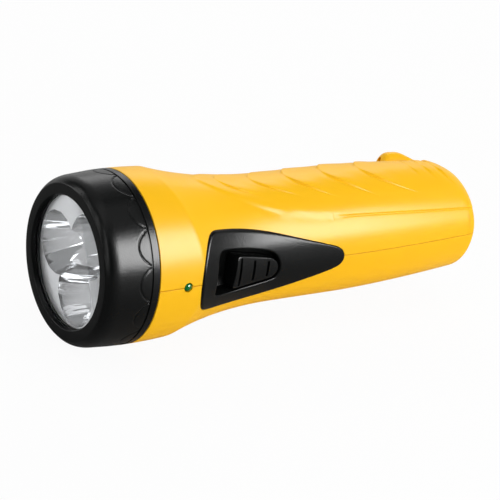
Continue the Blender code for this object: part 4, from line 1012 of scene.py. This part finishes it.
class TORCH_OT_switch(bpy.types.Operator):
    """Model the fin-shaped switch panel and the grooved slider in its recess."""

    bl_idname = "torch.switch"
    bl_label = "Switch"

    def execute(self, context):
        self.panel()
        self.slider()
        return {"FINISHED"}

    def panel(self):
        centre = Vector((WINDOW_START_X + WINDOW_LENGTH * 0.45, 0.5 * MM))
        count = 480
        angles = [2 * pi * step / count for step in range(count)]
        outer, window = panel_outline(), window_outline()
        tray = window_outline(TRAY_WALL)
        reach = [[ray_hit(line, centre, angle) for angle in angles] for line in (outer, window, tray)]
        foot = -1.3 * MM
        # share from the window (0) to the outer edge (1), inset in mm, lift, or a flat depth
        rings = [("outer", 0.0, foot), ("outer", 0.0, 0.1 * MM), ("outer", 0.1, 0.3 * MM), ("outer", 0.28, 0.48 * MM),
                 ("outer", 0.55, 0.58 * MM), ("outer", 0.95, 0.6 * MM)]
        rings += [("face", share, 0.6 * MM) for share in (0.85, 0.7, 0.55, 0.4, 0.25, 0.12)]
        rings += [("window", 0.6, 0.6 * MM), ("window", 0.3, 0.55 * MM), ("window", 0.1, 0.4 * MM), ("window", 0.0, 0.15 * MM)]
        rings += [("wall", 0.0, -TRAY_FLOOR_Y - 1.0 * MM), ("wall", -0.25, -TRAY_FLOOR_Y - 0.3 * MM), ("wall", -0.8, -TRAY_FLOOR_Y)]
        rings += [("middle", 0.0, -TRAY_FLOOR_Y), ("middle", 0.0, -TRAY_FLOOR_Y + TRAY_WALL)]
        rings += [("tray", 0.0, -TRAY_FLOOR_Y + TRAY_WALL), ("tray", 0.0, -TRAY_FLOOR_Y - 1.0 * MM), ("tray", 0.0, foot)]

        def place(column, row):
            kind, inset, lift = rings[column]
            index = row % count
            outside, inside, tray_reach = (line[index] for line in reach)
            if kind == "outer":
                distance = outside - inset * MM
            elif kind == "face":
                distance = inside + (outside - inside) * inset
            elif kind in ("window", "wall"):
                distance = inside + inset * MM
            elif kind == "middle":
                distance = 0.0
            else:
                distance = tray_reach
            x = centre.x + cos(angles[index]) * distance
            z = centre.y + sin(angles[index]) * distance
            flat = kind in ("wall", "middle") or (kind == "tray" and lift < foot)
            y = lift if flat else surface_y(x, z, lift)
            return Vector((FRONT_X + x, y, AXIS_Z + z))

        rings.append(rings[0])
        panel = closed(mapped_grid("switch_cover", len(rings) - 1, count, place))
        low = (FRONT_X + 50.7 * MM, -TRAY_FLOOR_Y - 1 * MM, AXIS_Z - 1.8 * MM)
        high = (FRONT_X + 60.8 * MM, -TRAY_FLOOR_Y + 3 * MM, AXIS_Z + 1.8 * MM)
        carved(panel, block("stem_slot", low, high))
        shaded(panel, 50)
        dressed(panel, "switch_plastic", "switch_black", "torch_body", "switch_panel")

    def slider(self):
        centre = Vector((57.5 * MM, -0.4 * MM))
        count = 240
        angles = [2 * pi * step / count for step in range(count)]
        top = rounded([(x * MM, z * MM, 1.4 * MM) for x, z in SLIDER_TOP], 6)
        foot = rounded([(min(x, max(x - 3.4, SLIDER_FOOT_X)) * MM if x < 52 else x * MM, z * MM, 1.2 * MM)
                        for x, z in SLIDER_TOP], 6)
        reach = [(ray_hit(foot, centre, angle), ray_hit(top, centre, angle)) for angle in angles]
        floor_y = -(TRAY_FLOOR_Y + FIT)
        # height share, inset and drop from the top in mm, for the side and the rounded edge
        side = [(0.0, 0.25, 0), (0.03, 0.02, 0), (0.3, 0, 0), (0.6, 0, 0), (0.85, 0, 0.1)]
        side += [(1.0, 0.03, 0.3), (1.0, 0.1, 0.13), (1.0, 0.22, 0.04), (1.0, 0.4, 0.0)]
        shares = (0.9, 0.75, 0.6, 0.45, 0.3, 0.15, 0.0)

        def place(column, row):
            index = row % count
            low, high = reach[index]
            way = Vector((cos(angles[index]), sin(angles[index])))
            if column == 0 or column == len(side) + len(shares) + 1:
                return Vector((FRONT_X + centre.x, floor_y, AXIS_Z + centre.y))
            if column <= len(side):
                share, inset, drop = side[column - 1]
                spot = centre + way * (low + (high - low) * share - inset * MM)
            else:
                share, drop = 1.0, 0.0
                spot = centre + way * (high - 0.4 * MM) * shares[column - len(side) - 1]
            y = floor_y + (surface_y(spot.x, spot.y, 0.25 * MM) + drop * MM - floor_y) * share
            return Vector((FRONT_X + spot.x, y, AXIS_Z + spot.y))

        slider = closed(mapped_grid("switch_slider", len(side) + len(shares) + 1, count, place))
        for x, high, low in ((51.2, 5.0, -4.7), (57.0, 3.3, -3.8), (62.8, 2.2, -3.2)):
            floor = surface_y(x * MM, 0, 0.25 * MM) + 0.9 * MM
            corner = (FRONT_X + (x - 0.5) * MM, -HEAD_RADIUS, AXIS_Z + low * MM)
            carved(slider, block("groove", corner, (FRONT_X + (x + 0.5) * MM, floor, AXIS_Z + high * MM)))
        stem_low = (FRONT_X + 55.5 * MM, -TRAY_FLOOR_Y - 0.6 * MM, AXIS_Z - 1.5 * MM)
        stem_high = (FRONT_X + 60.5 * MM, BUTTON_HIGH[1], AXIS_Z + 1.5 * MM)
        carved(slider, block("stem", stem_low, stem_high), "UNION")
        shaded(slider, 35)
        dressed(slider, "switch_plastic", "switch_black", "switch", "switch_button")


FRAME_FINISHES = {
    "circuit_board": "board_lacquer", "inner_plastic": "inner_plastic", "plain_steel": "zinc_steel",
    "tinned_metal": "tinned_metal", "battery_case": "battery_wrap", "film_brown": "dipped_film",
    "wire_red": "red_wire", "wire_black": "black_wire", "wire_brown": "brown_wire",
    "body_yellow": "yellow_plastic", "bezel_black": "black_plastic", "switch_black": "switch_plastic",
    "lens_clear": "clear_lens", "gasket_rubber": "gasket_rubber", "reflector_chrome": "metallised_plastic",
    "lamp_clear": "clear_resin", "indicator_green": "green_resin",
}


class TORCH_OT_finishes(bpy.types.Operator):
    """Make the finishes and give the frame's own pieces theirs."""

    bl_idname = "torch.finishes"
    bl_label = "Finishes"

    def execute(self, context):
        make_materials(context.scene.torch_colours)
        slots = {part["node"]: part["material_slot"] for part in frame["record"]["subparts"]}
        for name, item in frame["nodes"].items():
            material = bpy.data.materials[FRAME_FINISHES[slots[name]]]
            for slot in item.material_slots:
                slot.material = material
        return {"FINISHED"}


class TORCH_OT_stage(bpy.types.Operator):
    """Set the pale floor, the soft lights and the camera."""

    bl_idname = "torch.stage"
    bl_label = "Stage"

    def execute(self, context):
        self.floor()
        self.lights()
        self.camera(context)
        context.scene.view_settings.view_transform = "Standard"
        return {"FINISHED"}

    def white(self, tree):
        """A value of 1 for the rays that see the white room: the camera's, glossy and transmitted ones."""
        path = tree.nodes.new("ShaderNodeLightPath")
        seen = path.outputs["Is Camera Ray"]
        for name in ("Is Glossy Ray", "Is Transmission Ray"):
            either = tree.nodes.new("ShaderNodeMath")
            either.operation = "MAXIMUM"
            tree.links.new(seen, either.inputs[0])
            tree.links.new(path.outputs[name], either.inputs[1])
            seen = either.outputs["Value"]
        return seen

    def floor(self):
        deselected()
        bpy.ops.mesh.primitive_plane_add(size=8, location=(0, 0, -0.02 * MM))
        floor = named("floor")
        floor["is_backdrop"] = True
        material = bpy.data.materials.new("pale_floor")
        material.use_nodes = True
        tree = material.node_tree
        shader = tree.nodes["Principled BSDF"]
        shader.inputs["Base Color"].default_value = (0.68, 0.68, 0.68, 1)
        shader.inputs["Roughness"].default_value = 0.8
        glow = tree.nodes.new("ShaderNodeEmission")
        mix = tree.nodes.new("ShaderNodeMixShader")
        share = tree.nodes.new("ShaderNodeMath")
        share.operation = "MULTIPLY"
        share.inputs[1].default_value = 0.95
        tree.links.new(self.white(tree), share.inputs[0])
        tree.links.new(share.outputs["Value"], mix.inputs["Fac"])
        tree.links.new(shader.outputs["BSDF"], mix.inputs[1])
        tree.links.new(glow.outputs["Emission"], mix.inputs[2])
        tree.links.new(mix.outputs["Shader"], tree.nodes["Material Output"].inputs["Surface"])
        floor.data.materials.append(material)

    def lights(self):
        # name, azimuth and height of its direction in degrees, distance, size, radiance, what it lights
        lamps = (
            ("key_softbox", 30, 27, 0.8, (0.6, 0.5), 2.0, True),
            ("key_shine", 27, 26, 0.85, (0.64, 0.52), 66.0, False),
            ("rear_softbox", 148, 30, 0.9, (0.5, 0.3), 3.3, True),
            ("top_softbox", 0, 80, 0.9, (0.9, 0.5), 1.6, True),
            ("front_strip_near", -58, 25, 0.9, (0.17, 0.7), 7.0, False),
            ("front_strip_middle", -90, 25, 0.9, (0.17, 0.7), 7.0, False),
            ("front_strip_far", -114, 25, 0.9, (0.14, 0.7), 7.0, False),
            ("front_strip_last", -141, 25, 0.9, (0.17, 0.7), 7.0, False),
        )
        for name, azimuth, height, distance, size, radiance, lights_all in lamps:
            data = bpy.data.lights.new(name, "AREA")
            data.shape = "RECTANGLE"
            data.size, data.size_y = size
            data.energy = radiance * size[0] * size[1] * pi
            lamp = bpy.data.objects.new(name, data)
            bpy.context.collection.objects.link(lamp)
            turn, rise = radians(azimuth), radians(height)
            way = Vector((sin(turn) * cos(rise), -cos(turn) * cos(rise), sin(rise)))
            lamp.location = Vector((0, 0, AXIS_Z)) + way * distance
            lamp.rotation_euler = (-way).to_track_quat("-Z", "Y").to_euler()
            lamp.visible_diffuse = lights_all
        flags = (
            ("floor_flag", 0, -90, AXIS_Z + 0.01 * MM, (1.4, 1.4)), ("camera_flag", -40, 24, 1.6, (1.3, 1.4)),
            ("top_flag", 50, 62, 1.4, (1.5, 1.1)), ("rear_flag", 118, 52, 1.4, (0.6, 0.4)),
            ("far_flag", -160, 35, 1.4, (0.5, 0.9)),
            ("front_flag_near", -76, 28, 1.3, (0.42, 1.5)), ("front_flag_middle", -102, 28, 1.3, (0.36, 1.5)),
            ("front_flag_far", -127, 28, 1.3, (0.36, 1.5)),
        )
        moulded("grey_card", (0.3, 0.3, 0.3, 1), 0.8, 900.0, 0.1, 0.02 * MM)
        for name, azimuth, height, distance, size in flags:
            card = self.flag(name, azimuth, height, distance, size)
            card.data.materials.append(bpy.data.materials["grey_card" if name == "floor_flag" else "black_plastic"])
        world = bpy.data.worlds.new("white_room")
        bpy.context.scene.world = world
        world.use_nodes = True
        tree = world.node_tree
        back = tree.nodes["Background"]
        back.inputs["Color"].default_value = (1, 1, 1, 1)
        strength = tree.nodes.new("ShaderNodeMapRange")
        strength.inputs["To Min"].default_value = 0.56
        strength.inputs["To Max"].default_value = 1.0
        tree.links.new(self.white(tree), strength.inputs["Value"])
        tree.links.new(strength.outputs["Result"], back.inputs["Strength"])

    def flag(self, name, azimuth, height, distance, size):
        """A black card outside the picture, which only reflections see, as a studio uses on metal."""
        turn, rise = radians(azimuth), radians(height)
        way = Vector((sin(turn) * cos(rise), -cos(turn) * cos(rise), sin(rise)))
        deselected()
        bpy.ops.mesh.primitive_plane_add(size=1)
        card = named(name)
        card.scale = (size[0], size[1], 1)
        card.location = Vector((0, 0, AXIS_Z)) + way * distance
        card.rotation_euler = (-way).to_track_quat("-Z", "Y").to_euler()
        card.visible_camera = False
        card.visible_diffuse = False
        card.visible_shadow = False
        card.visible_transmission = False
        card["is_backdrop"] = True
        return card

    def camera(self, context):
        data = bpy.data.cameras.new("camera")
        camera = bpy.data.objects.new("camera", data)
        bpy.context.collection.objects.link(camera)
        look = (CAMERA_TARGET - CAMERA_PLACE).normalized()
        level = look.cross(Vector((0, 0, 1))).normalized()
        up = level.cross(look)
        right = level * cos(CAMERA_ROLL) - up * sin(CAMERA_ROLL)
        top = level * sin(CAMERA_ROLL) + up * cos(CAMERA_ROLL)
        turn = Matrix((right, top, -look)).transposed().to_4x4()
        camera.matrix_world = Matrix.Translation(CAMERA_PLACE) @ turn
        data.sensor_width = SENSOR
        data.lens = FOCAL_PIXELS * SENSOR / FRAME_PIXELS
        data.shift_x = -SHIFT_PIXELS[0] / FRAME_PIXELS
        data.shift_y = SHIFT_PIXELS[1] / FRAME_PIXELS
        context.scene.camera = camera


class TORCH_PT_panel(bpy.types.Panel):
    """Lists the torch's pieces in the sidebar."""

    bl_idname = "TORCH_PT_panel"
    bl_label = "Torch"
    bl_space_type = "VIEW_3D"
    bl_region_type = "UI"
    bl_category = "Torch"

    def draw(self, context):
        for operator in OPERATORS:
            self.layout.operator(operator.bl_idname)
        for group in (context.scene.torch_sizes, context.scene.torch_colours):
            for name in group.bl_rna.properties.keys():
                if name not in ("rna_type", "name"):
                    self.layout.prop(group, name)


OPERATORS = (
    TORCH_OT_finishes, TORCH_OT_shells, TORCH_OT_bezel, TORCH_OT_lens, TORCH_OT_reflector, TORCH_OT_lamps,
    TORCH_OT_indicator, TORCH_OT_switch, TORCH_OT_stage,
)
CLASSES = (TorchSizes, TorchColours) + OPERATORS + (TORCH_PT_panel,)


def register():
    for item in CLASSES:
        bpy.utils.register_class(item)
    bpy.types.Scene.torch_sizes = PointerProperty(type=TorchSizes)
    bpy.types.Scene.torch_colours = PointerProperty(type=TorchColours)


def unregister():
    del bpy.types.Scene.torch_colours
    del bpy.types.Scene.torch_sizes
    for item in reversed(CLASSES):
        bpy.utils.unregister_class(item)


def plain(bounds):
    return [[float(value) for value in corner] for corner in bounds]


def main():
    register()
    bpy.ops.torch.finishes()
    bpy.ops.torch.shells()
    bpy.ops.torch.bezel()
    bpy.ops.torch.lens()
    bpy.ops.torch.reflector()
    bpy.ops.torch.lamps()
    bpy.ops.torch.indicator()
    bpy.ops.torch.switch()
    bpy.ops.torch.stage()
    {"cad": plain(CAD_BOX), "visual": plain(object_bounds())}


if __name__ == "__main__":
    main()
